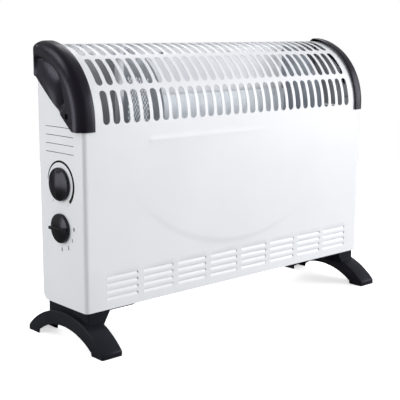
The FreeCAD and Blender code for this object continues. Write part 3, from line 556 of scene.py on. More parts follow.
# %% Louvre blades
louvre_columns = 8
louvre_rows = 4
louvre_half = 26.8 * mm
louvre_column_pitch = 62.86 * mm
louvre_row_pitch = 9.63 * mm
louvre_height = 5.3 * mm
louvre_first = 10.8 * mm
louvre_press = 1.7 * mm
blade_bend = 2.2
blade_shrink = 1.2 * mm
blade_steps = 5
drawn_edge = 1.1 * mm
drawn_depth = 0.6 * mm
drawn_end = 2.5 * mm
louvre_lows = [louvre_first + row * louvre_row_pitch for row in range(louvre_rows)]
middle_column = (louvre_columns - 1) / 2
louvre_middles = [(column - middle_column) * louvre_column_pitch for column in range(louvre_columns)]


def louvre_lines():
    """Lines along the sheet through all louvre rows."""
    lines = []
    for low in louvre_lows:
        lines += spread(low, low + louvre_height, blade_steps + 1) + [low + louvre_height + drawn_edge]
    return lines


def louvre_crossings():
    """Lines across the sheet at the louvres' ends and where the drawn edge runs out."""
    marks = (-louvre_half, drawn_end - louvre_half, 0, louvre_half - drawn_end, louvre_half)
    return [middle + mark for middle in louvre_middles for mark in marks]


def press_louvre(bm, middle, low):
    """Splits a blade from the sheet on three sides, pushes its top in and draws in the edge above it."""
    blade = []
    for face in bm.faces:
        spot = face.calc_center_median()
        if abs(spot.x - middle) < louvre_half and low < spot.y < low + louvre_height:
            blade.append(face)
    inside = set(blade)
    rim = []
    for edge in dict.fromkeys(edge for face in blade for edge in face.edges):
        at_bend = all(abs(vert.co.y - low) < near for vert in edge.verts)
        if not at_bend and any(face not in inside for face in edge.link_faces):
            rim.append(edge)
    bmesh.ops.split_edges(bm, edges=rim)
    blade_verts = {vert for face in blade for vert in face.verts}
    for vert in blade_verts:
        share = max(0, vert.co.y - low) / louvre_height
        vert.co.z = -louvre_press * share ** blade_bend
        if abs(vert.co.x - middle) > louvre_half - near:
            vert.co.x -= math.copysign(blade_shrink * share, vert.co.x - middle)
    for vert in bm.verts:
        above = abs(vert.co.y - low - louvre_height) < near and abs(vert.co.x - middle) < louvre_half - near
        if above and vert not in blade_verts:
            vert.co.z = -drawn_depth


print("louvres:", louvre_columns * louvre_rows)

# %% [markdown]
# The relief is a shallow lens. Its lower edge is a wide arc, where it stands out most in the middle, and from
# there it sinks back towards a straight crease near the top. The crease is a small step, plainest at its left
# end. A sculpted surface could do the same, but a height that is worked out from a few sizes is easier to
# adjust.

# %% Relief on the front
relief_radius = 273.5 * mm
relief_low = 56.5 * mm
relief_arc_slope = 9 * mm
relief_height = 1.4 * mm
relief_half_span = 230 * mm
crease_line = 226.6 * mm
crease_slope = 1.8 * mm
crease_half_span = 176 * mm
crease_end = 10 * mm
crease_reach = 20
crease_left_height = 1.0 * mm
crease_right_height = 0.12 * mm


def relief(across, along):
    """Height of the pressed lens above the front."""
    from_centre = math.hypot(across, along - relief_low - relief_radius)
    arc_share = ease((relief_radius - from_centre) / relief_arc_slope)
    fade = max(0, 1 - (across / relief_half_span) ** 2)
    from_left = min(1, max(0, (across + crease_half_span) / (2 * crease_half_span)))
    step = crease_right_height + (crease_left_height - crease_right_height) * (1 - from_left) ** 2
    step *= ease((crease_half_span - abs(across)) / crease_end)
    risen = min(1, max(0, (along - relief_low) / (crease_line - relief_low)))
    height = relief_height * fade * (1 - risen) + step * risen ** crease_reach
    return height * arc_share * ease((crease_line - along) / crease_slope)


print("relief", round(relief(0, relief_low + 2 * relief_arc_slope) / mm, 2), "mm high above its arc")

# %% [markdown]
# At the front corners the sheet is folded back with a small radius. As over the top, the sheet keeps its
# length: the first part of what lies past the flat front becomes an angle round the corner, the rest is the
# side.

# %% Folds at the front corners
flat_half = half_width - corner_radius
corner_length = corner_radius * math.pi / 2
behind_fold = flat_half + corner_length
side_length = casing_rear - front_y - corner_radius


def folded(across):
    """(x, y) of a place across the sheet, folded round the front corners."""
    past = abs(across) - flat_half
    side = math.copysign(1, across)
    if past <= 0:
        return across, front_y
    if past <= corner_length:
        angle = past / corner_radius
        reach = flat_half + corner_radius * math.sin(angle)
        return side * reach, front_y + corner_radius * (1 - math.cos(angle))
    return side * half_width, front_y + corner_radius + past - corner_length


def place_on_casing(vert):
    """Moves a vertex of the flat pattern to its place on the bent casing."""
    across, along, depth = vert.co
    if abs(across) > flat_half + near:
        x, y = folded(across)
        vert.co = (x, y, body_lift + along)
        return
    y, z = over_the_top(along)
    if along < front_height:
        y -= depth + relief(across, along)
    vert.co = (across, y, z)


print("side", round(side_length / mm, 1), "mm deep behind the fold")

# %% [markdown]
# The sides run up under the end caps, along a slanted edge, and each has four narrow slits. The slits are
# rows of the grid that are left out.

# %% Sides of the casing
slit_count = 4
slit_pitch = 11.3 * mm
slit_height = 0.9 * mm
slit_first = 209.3 * mm
slit_length = 65 * mm
slit_start = behind_fold + 22 * mm - corner_radius
cap_drop = 8 * mm
cap_toe = 17 * mm
cap_heel = 63 * mm
toe_y = front_y + cap_toe
cap_bottom = curve_z - cap_drop
heel_z = curve_z + cap_heel
slope = (heel_z - cap_bottom) / (rear_y - toe_y)
under_cap = 6 * mm
rear_round = 9 * mm
fold_steps = 6
round_steps = 6
slit_steps = 4
slit_heights = [slit_first + i * slit_pitch for i in range(slit_count)]
side_rear = behind_fold + side_length


def side_lines():
    """Lines across one side: corner fold, slit ends and the rounded lower rear corner."""
    bows = [rear_round * math.sin(math.pi / 2 * i / round_steps) for i in range(round_steps + 1)]
    fold_lines = spread(flat_half, behind_fold, fold_steps + 1)
    slit_lines = spread(slit_start, slit_start + slit_length, slit_steps + 1)
    return fold_lines + slit_lines + [side_rear - rear_round + bow for bow in bows]


def side_top(across):
    """Upper edge of the side sheet, hidden under the cap."""
    y = folded(across)[1]
    return max(0, (y - toe_y) * slope) + cap_bottom - body_lift + under_cap


def drop_slits(bm):
    """Deletes the narrow faces that are slits."""
    gone = []
    for face in bm.faces:
        spot = face.calc_center_median()
        between = slit_start < abs(spot.x) < slit_start + slit_length
        if between and any(abs(spot.y - height) < slit_height / 2 for height in slit_heights):
            gone.append(face)
    bmesh.ops.delete(bm, geom=gone, context="FACES_ONLY")
    return len(gone)


def round_lower_corners(bm):
    """Lifts the lower edge of the sides towards the back, to a round corner."""
    for vert in bm.verts:
        short = abs(vert.co.x) - (side_rear - rear_round)
        if vert.co.y < near and short > 0:
            vert.co.y = rear_round - math.sqrt(max(0, rear_round ** 2 - short ** 2))


print("slits at", [round(height / mm, 1) for height in slit_heights], "mm")

# %% [markdown]
# Now the bands come together as one flat pattern. It is pressed and cut, every vertex goes to its place on
# the bent casing, and a Solidify modifier gives the thickness of the sheet, so the cut edges of slots and
# louvres show as they do on the real one.

# %% Flat pattern of the casing
louvre_band_top = 54 * mm
relief_band_low = 58 * mm
relief_band_top = cap_bottom - body_lift
grille_low = 243 * mm
relief_pitch = 2.8 * mm
slanted_edge = 1  # far above the sheet, a mark for the line that becomes the slanted edge


def with_slits(lines):
    """Lines along the sheet with the slits' edges among them."""
    edges = [height + side * slit_height / 2 for height in slit_heights for side in (-1, 1)]
    kept = [line for line in lines if min(abs(line - edge) for edge in edges) > slit_height / 2]
    return sorted(kept + [edge for edge in edges if lines[0] < edge < lines[-1]])


def boundary(bm, along):
    """Open edges of the flat front on one line along the sheet."""
    found = []
    for edge in bm.edges:
        on_line = all(abs(vert.co.y - along) < near for vert in edge.verts)
        if edge.is_boundary and on_line and all(abs(vert.co.x) < flat_half + near for vert in edge.verts):
            found.append(edge)
    return found


def casing_pattern():
    """The whole casing as a flat pattern, with the slots of the grille punched."""
    bm = bmesh.new()
    louvre_along = [0] + louvre_lines() + [louvre_band_top]
    relief_rows = round((relief_band_top - relief_band_low) / relief_pitch)
    relief_columns = round(2 * flat_half / relief_pitch)
    relief_along = with_slits(spread(relief_band_low, relief_band_top, relief_rows + 1))
    scribed_grid(bm, [-flat_half] + louvre_crossings() + [flat_half], louvre_along)
    scribed_grid(bm, spread(-flat_half, flat_half, relief_columns + 1), relief_along)
    grille_sheet(bm, grille_low, flat_half)
    for lower, upper in ((louvre_band_top, relief_band_low), (relief_band_top, grille_low)):
        bmesh.ops.bridge_loops(bm, edges=boundary(bm, lower) + boundary(bm, upper))
    right = side_lines()
    upper_along = with_slits([relief_band_top, slit_heights[-1] + 2 * slit_height]) + [slanted_edge]
    for across in (right, [-line for line in reversed(right)]):
        scribed_grid(bm, across, louvre_along + relief_along)
        flat_side = across[fold_steps:] if across[0] > 0 else across[:-fold_steps]
        for vert in scribed_grid(bm, flat_side, upper_along):
            if vert.co.y == slanted_edge:
                vert.co.y = side_top(vert.co.x)
    bmesh.ops.remove_doubles(bm, verts=bm.verts, dist=near)
    return bm


casing_mesh = casing_pattern()
print("pattern:", len(casing_mesh.faces), "faces")

# %% Press and fold the casing
casing_edge_angle = 30
for louvre_middle in louvre_middles:
    for louvre_low in louvre_lows:
        press_louvre(casing_mesh, louvre_middle, louvre_low)
print("slit faces left out:", drop_slits(casing_mesh))
round_lower_corners(casing_mesh)
for casing_vert in casing_mesh.verts:
    place_on_casing(casing_vert)
casing = finish_piece("casing_sheet", casing_mesh, enamel, "heater", casing_edge_angle)
add_thickness(casing, sheet, casing_edge_angle)
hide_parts("front_casing")
print("casing", len(casing.data.polygons), "faces")

# %% [markdown]
# ## End caps
# The caps are black mouldings that lap over the ends of the grille. Their outer edge is rounded, and a hollow
# in the side, deepest under the curve, lets the fingers in to carry the heater. A cap is a skin of changing
# height, so it is drawn as a grid in its side view: one family of lines follows the outer edge, the other
# runs from it to the slanted edge. Then the height of every crossing is set by a small function, and a
# Solidify modifier gives the wall. A boolean would make the hollow's rim too sharp for this soft shape.

# %% Outline of a cap
cap_lip = 3 * mm
cap_rise = 2 * mm
cap_side = 7 * mm
cap_round = 13 * mm
crown_width = 18 * mm
rear_edge_round = 2 * mm
cap_x = half_width + cap_side
cap_z = curve_z + cap_rise
cap_radius = curve_radius + cap_lip
cap_bend = top_bend + cap_lip
bend_y = rear_y - cap_bend
bend_z = cap_z + math.sqrt((cap_radius - cap_bend) ** 2 - cap_bend ** 2)
bend_turn = math.atan2(bend_z - cap_z, bend_y - rear_y)
slant = Vector((rear_y - toe_y, heel_z - cap_bottom)).normalized()
slant_normal = Vector((-slant.y, slant.x))
toe = Vector((toe_y, cap_bottom))
heel = Vector((rear_y, heel_z))
toe_lines = [cap_bottom + rise * mm for rise in (0, 0.6, 1.5, 4, 7)]
curve_lines, bend_lines, back_lines = 64, 10, 5
crown_fade = 15
last_end = 0.8


def slant_hit(point, inward):
    """Where a line in the side view from the outer edge meets the slanted edge."""
    reach = (toe - point).dot(slant_normal) / inward.dot(slant_normal)
    return point + inward * reach


def cap_columns():
    """Lines of the side view: start, direction inwards, end on the slanted edge, crown's depth and width."""
    columns = []
    for z in toe_lines:
        start, inward = Vector((rear_y - cap_radius, z)), Vector((1, 0))
        columns.append((start, inward, slant_hit(start, inward), cap_round, crown_width))
    for i, angle in enumerate(spread(math.pi, bend_turn, curve_lines)):
        out = Vector((math.cos(angle), math.sin(angle)))
        start = Vector((rear_y, cap_z)) + out * cap_radius
        fade = ease((i + 1 + crown_fade - curve_lines) / crown_fade)
        width = crown_width + (cap_round - crown_width) * fade
        columns.append((start, -out, slant_hit(start, -out), cap_round, width))
    last = columns[-1][2]
    ends = spread(0, last_end, bend_lines + back_lines + 1)[1:]
    for i, angle in enumerate(spread(bend_turn, 0, bend_lines + 1)[1:]):
        out = Vector((math.cos(angle), math.sin(angle)))
        start = Vector((bend_y, bend_z)) + out * cap_bend
        soft = cap_round + (rear_edge_round - cap_round) * ease((i + 1) / bend_lines)
        columns.append((start, -out, last.lerp(heel, ends[i]), soft, soft))
    for share, end in zip(spread(0, 1, back_lines + 1)[1:], ends[bend_lines:]):
        start = Vector((rear_y, bend_z)).lerp(heel, share)
        inward = Vector((-1, 0)).lerp(-slant, share).normalized()
        columns.append((start, inward, last.lerp(heel, end), rear_edge_round, rear_edge_round))
    return columns


print("cap outline:", len(cap_columns()), "lines, top at", round((bend_z + cap_bend) / mm, 1), "mm")

# %% [markdown]
# The hollow has a steep wall under the curve, with a rim that turns inwards towards its front end. From the
# foot of that wall the floor rises to the slanted edge, fast at first and then more and more gently. Towards
# both ends the hollow runs out. Each of these is a smooth step or a power of a distance, and multiplied with
# each other they describe the shape well.

# %% Height of the side face
scoop_rim = 86.5 * mm
scoop_rim_in = 9 * mm
scoop_rim_turn = math.radians(128)
scoop_rim_run = math.radians(30)
scoop_wall = 5 * mm
scoop_floor_end = 46 * mm
scoop_start = 31 * mm
scoop_front_run = 11 * mm
scoop_back = 1.5 * mm
scoop_back_run = 6 * mm
scoop_deep = 14 * mm
scoop_rise = 10 * mm
scoop_turn = 8 * mm
cap_edge = 1.5 * mm


def scoop_depth(y, z):
    """Depth of the finger hollow at a place in the side view."""
    offset = Vector((y, z)) - toe
    radius = math.hypot(y - rear_y, z - cap_z)
    turned = (math.atan2(z - cap_z, y - rear_y) - scoop_rim_turn) / scoop_rim_run
    rim = scoop_rim - scoop_rim_in * ease(turned)
    wall = ease((rim - radius) / scoop_wall)
    foot = rim - scoop_wall
    ramp = min(1, max(0, (radius - scoop_floor_end) / (foot - scoop_floor_end))) ** 2
    front = ease((offset.dot(slant) - scoop_start) / scoop_front_run)
    back = ease((rear_y - y - scoop_back) / scoop_back_run)
    deep = scoop_deep - scoop_rise * ease((y - scoop_turn) / (rear_y - scoop_turn))
    return deep * wall * ramp * front * back


def edge_drop(y, z):
    """Rounding of the slanted and the lower edge."""
    offset = Vector((y, z)) - toe
    inside = min(offset.dot(slant_normal), z - cap_bottom)
    short = cap_edge - min(cap_edge, max(0, inside))
    return cap_edge - math.sqrt(cap_edge ** 2 - short ** 2)


deepest = max(scoop_depth(y * mm, z * mm) for y in range(-40, 50) for z in range(300, 400))
print("hollow", round(deepest / mm, 1), "mm deep")

# %% [markdown]
# Each line of the outline now gets its points: over the lap on the grille, round the outer edge and down the
# side. They lie closest where the skin turns most. Along the slanted and the lower edge the skin is extruded
# back to the casing, so the cap looks thick there.

# %% Points of a cap's lines
cap_wrap = 18 * mm
back_lap = 1 * mm
lap_edge = ((1.2, 0), (0.35, 0.35), (0, 1.2))
crown_steps = 8
face_shares = spread(0, 0.15, 11)[1:] + spread(0.15, 0.93, 22)[1:] + [0.955, 0.975, 0.99, 1]


def cap_crossings(column, at_back):
    """Points of one line: over the lap, round the edge and down the side to the slanted edge."""
    start, inward, end, soft, width = column
    lap = -half_width - back_lap if at_back else -half_width + cap_wrap
    points = []
    for drop, turn in lap_edge:
        place = start + inward * drop * mm
        points.append((lap - turn * mm, *place))
    points.append(((lap - cap_x + soft) / 2, *start))
    for step in range(crown_steps + 1):
        angle = math.pi / 2 * step / crown_steps
        place = start + inward * width * (1 - math.cos(angle))
        points.append((-cap_x + soft - soft * math.sin(angle), *place))
    inner = start + inward * width
    for share in face_shares:
        y, z = inner.lerp(end, share)
        points.append((-cap_x + scoop_depth(y, z) + edge_drop(y, z), y, z))
    return points


print("points on a line:", len(cap_crossings(cap_columns()[0], False)))

# %% Skin of the left cap
return_from = -half_width - 4 * mm
return_to = -half_width - 0.3 * mm
return_drop = 0.9 * cap_edge


def new_verts(result):
    """Vertices among what an operator made."""
    return [item for item in result["geom"] if isinstance(item, bmesh.types.BMVert)]


def face_left(bm):
    """Turns the faces of an open skin so that they look to the left."""
    bmesh.ops.recalc_face_normals(bm, faces=bm.faces)
    if sum(face.normal.x * face.calc_area() for face in bm.faces) > 0:
        bmesh.ops.reverse_faces(bm, faces=bm.faces)


def cap_skin():
    """Outer surface of the left cap, with a return along its slanted and lower edges."""
    columns = cap_columns()
    back_start = len(columns) - back_lines
    rows = [cap_crossings(column, i >= back_start) for i, column in enumerate(columns)]
    bm = bmesh.new()
    for vert in scribed_grid(bm, range(len(rows[0])), range(len(rows))):
        vert.co = rows[round(vert.co.y)][round(vert.co.x)]
    bottom = []
    for edge in bm.edges:
        outside = edge.is_boundary and all(vert.co.x < return_from for vert in edge.verts)
        if outside and all(edge_drop(vert.co.y, vert.co.z) > return_drop for vert in edge.verts):
            bottom.append(edge)
    for vert in new_verts(bmesh.ops.extrude_edge_only(bm, edges=bottom)):
        vert.co.x = return_to
    face_left(bm)
    return bm


print("cap skin:", len(cap_skin().faces), "faces")

# %% [markdown]
# The skin gets its wall, then the screw hole is drilled through it with a boolean on this one small round
# spot. The result is baked, because the right cap is its mirror image. Mirroring turns the faces inside out,
# so they are reversed afterwards.

# %% Both caps
cap_wall = 2 * mm
cap_edge_angle = 40
screw_spot = toe + slant * 19.6 * mm + slant_normal * 9 * mm
screw_hole = 3.9 * mm
drill_depth = 8 * mm


def drill(piece, centre, radius, depth):
    """Cuts a round hole along X through a piece."""
    bit = bmesh.new()
    turned = Matrix.Translation(centre) @ Matrix.Rotation(math.pi / 2, 4, "Y")
    bmesh.ops.create_cone(bit, cap_ends=True, segments=32, radius1=radius, radius2=radius, depth=depth,
                          matrix=turned)
    cutter = mesh_object("bit", bit)
    hole = piece.modifiers.new("hole", "BOOLEAN")
    hole.object = cutter
    bake(piece, cap_edge_angle)
    bpy.data.objects.remove(cutter)


def mirror(bm):
    """Makes the right piece of a pair from the left one."""
    bmesh.ops.scale(bm, verts=bm.verts, vec=(-1, 1, 1))
    bmesh.ops.reverse_faces(bm, faces=bm.faces)


left_cap = finish_piece("left_cap", cap_skin(), cap_plastic, "heater", cap_edge_angle)
add_thickness(left_cap, cap_wall, cap_edge_angle, even=False)
for vert in left_cap.data.vertices:
    # Where the skin folds most, a point of the inner wall can come out through it, and goes back in.
    if vert.co.x < -cap_x - near:
        vert.co.x = cap_wall - cap_x
drill(left_cap, (-cap_x, *screw_spot), screw_hole, drill_depth)
mirrored = bmesh.new()
mirrored.from_mesh(left_cap.data)
mirror(mirrored)
right_cap = finish_piece("right_cap", mirrored, cap_plastic, "heater", cap_edge_angle)
for cap, cap_node in ((left_cap, "left_end_cap"), (right_cap, "right_end_cap")):
    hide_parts(cap_node)
print("caps:", len(left_cap.data.polygons), "faces each")

# %% [markdown]
# Under the caps the casing's sides go on up to the curve. From outside they can't be seen, but they close the
# view through the last slots. The sheet is pressed in where the finger hollow needs room.

# %% Upper ends of the sides, under the caps
upstand_radius = curve_radius - 3 * mm
upstand_front = front_y + 8 * mm
upstand_rear = casing_rear - 1 * mm
upstand_lap = 2 * mm
upstand_gap = 0.8 * mm
upstand_columns, upstand_rows = 30, 24


def upstand_edges(y):
    """Lower and upper edge of the hidden sheet at a place from front to back."""
    lower = max(0, (y - toe_y) * slope) + cap_bottom + under_cap - upstand_lap
    upper = curve_z + math.sqrt(upstand_radius ** 2 - (y - rear_y) ** 2)
    return lower, min(upper, small_z + top_bend / 2)


def upstand_sheet():
    """Left sheet, behind the skin of the cap."""
    bm = bmesh.new()
    for vert in scribed_grid(bm, range(upstand_columns + 1), range(upstand_rows + 1)):
        y = upstand_front + (upstand_rear - upstand_front) * vert.co.x / upstand_columns
        lower, upper = upstand_edges(y)
        z = lower + (upper - lower) * vert.co.y / upstand_rows
        vert.co = (max(-half_width + sheet, -cap_x + scoop_depth(y, z) + cap_wall + upstand_gap), y, z)
    face_left(bm)
    return bm


for side in ("left", "right"):
    upstand_mesh = upstand_sheet()
    if side == "right":
        mirror(upstand_mesh)
    upstand = finish_piece("casing_upstand_" + side, upstand_mesh, enamel, "heater")
    add_thickness(upstand, sheet)
print("upstands from", [round(edge / mm) for edge in upstand_edges(0)], "mm in the middle")

# %% [markdown]
# ## Knobs
# Both knobs are glossy black mouldings with a low, grooved skirt. A face is a grid laid over the disc, with
# columns that follow the grip, so that the grip keeps clean edges. A lathe shape with a block on it would be
# quicker, but the grip runs into the face. The skirt is then extruded from the rim, and every third line of
# it is drawn in for the grooves.

# %% Grid of a knob's face
knob_rows = 66
knob_x = half_width + 4.6 * mm
knob_top = 5.1 * mm
knob_wall = 1.2 * mm
knob_edge_angle = 28
rim_flat = 1.6 * mm
rim_drop = 1 * mm
skirt_height = 4 * mm
skirt_steps = ((0.5 * mm, 0.15 * mm), (0, 1.1 * mm), (0, 2.2 * mm), (0, skirt_height))
groove_depth = 0.45 * mm
groove_every = 3
flank_shares = spread(0, 1, 13)[1:]


def knob_face(reach, grip_lines, grip_half, crest, height):
    """Face of a knob in its own plane: rows across the grip, columns along it, raised by a function."""
    columns = [(line, 0) for line in grip_lines] + [(1, share) for share in flank_shares]
    columns = [(-line, -share) for line, share in reversed(columns[1:])] + columns
    bm = bmesh.new()
    for vert in scribed_grid(bm, range(len(columns)), range(knob_rows + 1)):
        line, share = columns[round(vert.co.x)]
        angle = math.pi * round(vert.co.y) / knob_rows
        along, chord = reach * math.cos(angle), reach * math.sin(angle)
        half = min(grip_half, chord / 2)
        across = line * half + share * (chord - half) + crest(along) * (1 - abs(share))
        vert.co = (across, along, height(along, line, share))
    bmesh.ops.remove_doubles(bm, verts=bm.verts, dist=near)
    return bm


def add_skirt(bm, radius):
    """Rounded rim and grooved skirt, extruded from the edge of the face."""
    for inset, drop in skirt_steps:
        rim = [edge for edge in bm.edges if edge.is_boundary]
        for vert in new_verts(bmesh.ops.extrude_edge_only(bm, edges=rim)):
            angle = math.atan2(vert.co.y, vert.co.x)
            grooved = drop > rim_drop and round(angle / math.pi * knob_rows) % groove_every == 0
            reach = radius - inset - groove_depth * grooved
            vert.co = (reach * math.cos(angle), reach * math.sin(angle), -drop)


def add_knob(name, bm, middle, turn, node, body):
    """Knob set on the left side: its plane turned about X, its height along -X, with a hollow underside."""
    for vert in bm.verts:
        across, along, height = vert.co
        y = across * math.cos(turn) + along * math.sin(turn)
        z = along * math.cos(turn) - across * math.sin(turn)
        vert.co = (-knob_x - height, middle[0] + y, middle[1] + z)
    face_left(bm)
    knob = finish_piece(name, bm, knob_plastic, body, knob_edge_angle)
    add_thickness(knob, knob_wall, knob_edge_angle, even=False)
    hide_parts(node)
    return knob


print("knob grid:", knob_rows, "rows")

# %% [markdown]
# The thermostat's face is a roof. Its crest is an arch for two fingers, bowed a little to the front, with a
# plain slope before it and a hollow behind. The height is a power of the distance from the crest, because a
# power below or above 1 makes a full or a hollow slope.

# %% Thermostat knob
thermostat_radius = 22.4 * mm
thermostat_reach = thermostat_radius - rim_flat
crest_bow = -1 * mm
crest_power = 0.55
front_power = 1.15
rear_power = 1.9
rear_hollow = 1.2 * mm
spindle_low, spindle_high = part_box("thermostat_spindle")
thermostat_middle = ((spindle_low.y + spindle_high.y) / 2, (spindle_low.z + spindle_high.z) / 2)


def arch(along):
    """1 in the middle of the crest, 0 at its ends."""
    return max(0, 1 - (along / thermostat_reach) ** 2)


def roof(along, _line, share):
    """Height of the thermostat's face, which has no bar: a plain slope before the crest, a hollow behind."""
    top = knob_top * arch(along) ** crest_power
    if share <= 0:
        return top * (1 + share) ** front_power
    return top * (1 - share) ** rear_power - rear_hollow * math.sin(math.pi * share) * arch(along)


thermostat_face = knob_face(thermostat_reach, [0], 0, lambda along: crest_bow * arch(along), roof)
add_skirt(thermostat_face, thermostat_radius)
thermostat_piece = add_knob("thermostat_grip", thermostat_face, thermostat_middle, 0,
                            "thermostat_knob", "thermostat_control")
print("thermostat knob", len(thermostat_piece.data.polygons), "faces")

# %% [markdown]
# The selector is a low dome with a narrow bar of even height across it. At rest the bar lies almost level on
# the heater's side, so the face is turned by a little more than a right angle.

# %% Selector knob
selector_radius = 20 * mm
selector_reach = selector_radius - rim_flat
selector_turn = math.radians(91.8)
selector_dome = 2.6 * mm
dome_power = 1.5
bar_half_width = 2.2 * mm
bar_lines = [0, 0.5, 0.75, 0.9, 1]
bar_end = 0.6 * mm
bar_crown = 0.9 * mm
spindle_low, spindle_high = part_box("selector_spindle")
selector_middle = ((spindle_low.y + spindle_high.y) / 2, (spindle_low.z + spindle_high.z) / 2)


def barred(along, line, share):
    """Height of the selector's face: a low dome with a level bar across it."""
    dome = selector_dome * max(0, 1 - (along / selector_reach) ** 2) * (1 - abs(share) ** dome_power)
    if abs(line) >= 1:
        return dome
    top = knob_top * ease((selector_reach - abs(along)) / bar_end)
    return max(dome, top - bar_crown * abs(line) ** 4)


selector_face = knob_face(selector_reach, bar_lines, bar_half_width, lambda along: 0, barred)
add_skirt(selector_face, selector_radius)
selector_piece = add_knob("selector_grip", selector_face, selector_middle, selector_turn,
                          "selector_knob", "selector_control")
print("selector knob", len(selector_piece.data.polygons), "faces")

# %% [markdown]
# ## Printed dial
# Round the thermostat runs a tapered arc, thin where the room stays cool and thick where it gets warm. The
# positions of the selector are plain numbers. Both are pad printed on the enamel. Here they are very thin
# raised meshes: the arc is a bent strip of the grid, the numbers are text turned into meshes.

# %% Dial marks
ink_height = 0.12 * mm
arc_radius = 30.3 * mm
arc_start, arc_end = math.radians(-82), math.radians(138)
arc_thin, arc_thick = 0.9 * mm, 4.4 * mm
arc_taper = 0.6
arc_steps = 72
digit_share = 0.7
digit_stroke = 0.05
selector_digit, thermostat_digit = 4.6 * mm, 2.6 * mm
selector_numbers = (("0", -26.4, 163.4), ("1", -22.2, 147.7), ("2", -12.9, 136.4), ("3", 2.5, 131.6))
thermostat_numbers = (("1", 21.6, 196.0), ("6", -14.1, 192.5))


def on_side(flat_y, flat_z):
    """Place on the left side of the casing, proud of it by the height of the ink."""
    return -half_width - ink_height, flat_y, flat_z


def dial_arc():
    """Tapered arc about the thermostat's axis, from the rear over the top to the front."""
    bm = bmesh.new()
    for vert in scribed_grid(bm, [-1, 1], range(arc_steps + 1)):
        share = vert.co.y / arc_steps
        angle = arc_start + (arc_end - arc_start) * share
        reach = arc_radius + vert.co.x / 2 * (arc_thin + (arc_thick - arc_thin) * share ** arc_taper)
        y = thermostat_middle[0] - reach * math.sin(angle)
        vert.co = on_side(y, thermostat_middle[1] + reach * math.cos(angle))
    face_left(bm)
    return bm


def number(symbol, height, y, z):
    """Bmesh of a plain number, upright on the left side, centred on a point."""
    curve = bpy.data.curves.new("number", "FONT")
    curve.body = symbol
    curve.size = height / digit_share
    curve.offset = digit_stroke * height
    curve.align_x = "CENTER"
    curve.align_y = "CENTER"
    letter = add_object("number", curve)
    graph = bpy.context.evaluated_depsgraph_get()
    flat = bpy.data.meshes.new_from_object(letter.evaluated_get(graph))
    bpy.data.objects.remove(letter)
    bm = bmesh.new()
    bm.from_mesh(flat)
    for vert in bm.verts:
        vert.co = on_side(y - vert.co.x, z + vert.co.y)
    face_left(bm)
    return bm


marks = {"dial_arc": dial_arc()}
for symbol, y, z in selector_numbers:
    marks["selector_number_" + symbol] = number(symbol, selector_digit, y * mm, z * mm)
for symbol, y, z in thermostat_numbers:
    marks["thermostat_number_" + symbol] = number(symbol, thermostat_digit, y * mm, z * mm)
for mark_name, mark_mesh in marks.items():
    mark = finish_piece(mark_name, mark_mesh, dial_ink, "heater")
    add_thickness(mark, ink_height)
print("dial marks:", len(marks))

# %% [markdown]
# ## Feet
# Each foot is one black moulding: an arch that stands on two pads, a block under the body, and a flange that
# is screwed to the base plate. The arch is drawn as an outline in the side view, where each arc is spun from
# a single point, and extruded to its width. Its edges are bevelled before the open underside is cut away and
# the wall is made.

# %% Helpers for a foot
foot_low, foot_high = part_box("left_foot")
foot_half = foot_high.y
pad_half = foot_half - 26 * mm
pad_step = 5 * mm
downward = -0.2


def spun_arc(bm, half, low, high, steps):
    """Chain of vertices over the foot's middle, from the front to the back."""
    rise = high - low
    radius = (half ** 2 + rise ** 2) / (2 * rise)
    first = bm.verts.new((foot_low.x, -half, low))
    bmesh.ops.spin(bm, geom=[first], cent=(foot_low.x, 0, high - radius), axis=(1, 0, 0), steps=steps,
                   angle=-2 * math.asin(half / radius))


def extruded(bm, face, offset):
    """Vertices of the far end of a face that is extruded along an offset."""
    moved = new_verts(bmesh.ops.extrude_face_region(bm, geom=face))
    bmesh.ops.translate(bm, verts=moved, vec=offset)
    return moved


def is_underside(face):
    """Whether a face looks down, or closes the step of a pad."""
    if face.normal.z < downward:
        return True
    return all(abs(vert.co.y) < pad_half + near and vert.co.z < pad_step + near for vert in face.verts)


print("foot", round(2 * foot_half / mm), "mm long, pads", round((foot_half - pad_half) / mm), "mm")

# %% Arch of the left foot
foot_width = 32.8 * mm
foot_tip = 7 * mm
foot_crown = 44.3 * mm
foot_vault = 25 * mm
foot_edge = 1.8 * mm
foot_sharp = 0.5
crown_arc_steps, vault_arc_steps = 48, 32


def foot_arch():
    """Open shell of the arch."""
    bm = bmesh.new()
    spun_arc(bm, foot_half, foot_tip, foot_crown, crown_arc_steps)
    spun_arc(bm, pad_half, pad_step, foot_vault, vault_arc_steps)
    ends = [vert for vert in bm.verts if len(vert.link_edges) == 1]
    for side in (-1, 1):
        tip, step = sorted((vert for vert in ends if vert.co.y * side > 0), key=lambda vert: -abs(vert.co.y))
        heel_vert = bm.verts.new((foot_low.x, side * foot_half, 0))
        pad_vert = bm.verts.new((foot_low.x, side * pad_half, 0))
        for pair in ((tip, heel_vert), (heel_vert, pad_vert), (pad_vert, step)):
            bm.edges.new(pair)
    outline = bmesh.ops.contextual_create(bm, geom=bm.edges[:])["faces"]
    extruded(bm, outline, (foot_width, 0, 0))
    bmesh.ops.recalc_face_normals(bm, faces=bm.faces)
    outer = []
    for edge in bm.edges:
        if edge.calc_face_angle(0) > foot_sharp and all(face.normal.z > downward for face in edge.link_faces):
            outer.append(edge)
    bmesh.ops.bevel(bm, geom=outer, offset=foot_edge, segments=3, profile=0.5, affect="EDGES", material=-1)
    bmesh.ops.delete(bm, geom=[face for face in bm.faces if is_underside(face)], context="FACES")
    return bm


print("arch of a foot:", len(foot_arch().faces), "faces before its wall")

# %% [markdown]
# The block's inner end leans, so it is drawn as a four-cornered section and extruded front to back. The
# flange is a flat plate, level with the top of the block. Both are closed shapes that overlap with the arch,
# which is simpler than joining the three, and the seams hardly show on a black moulding.

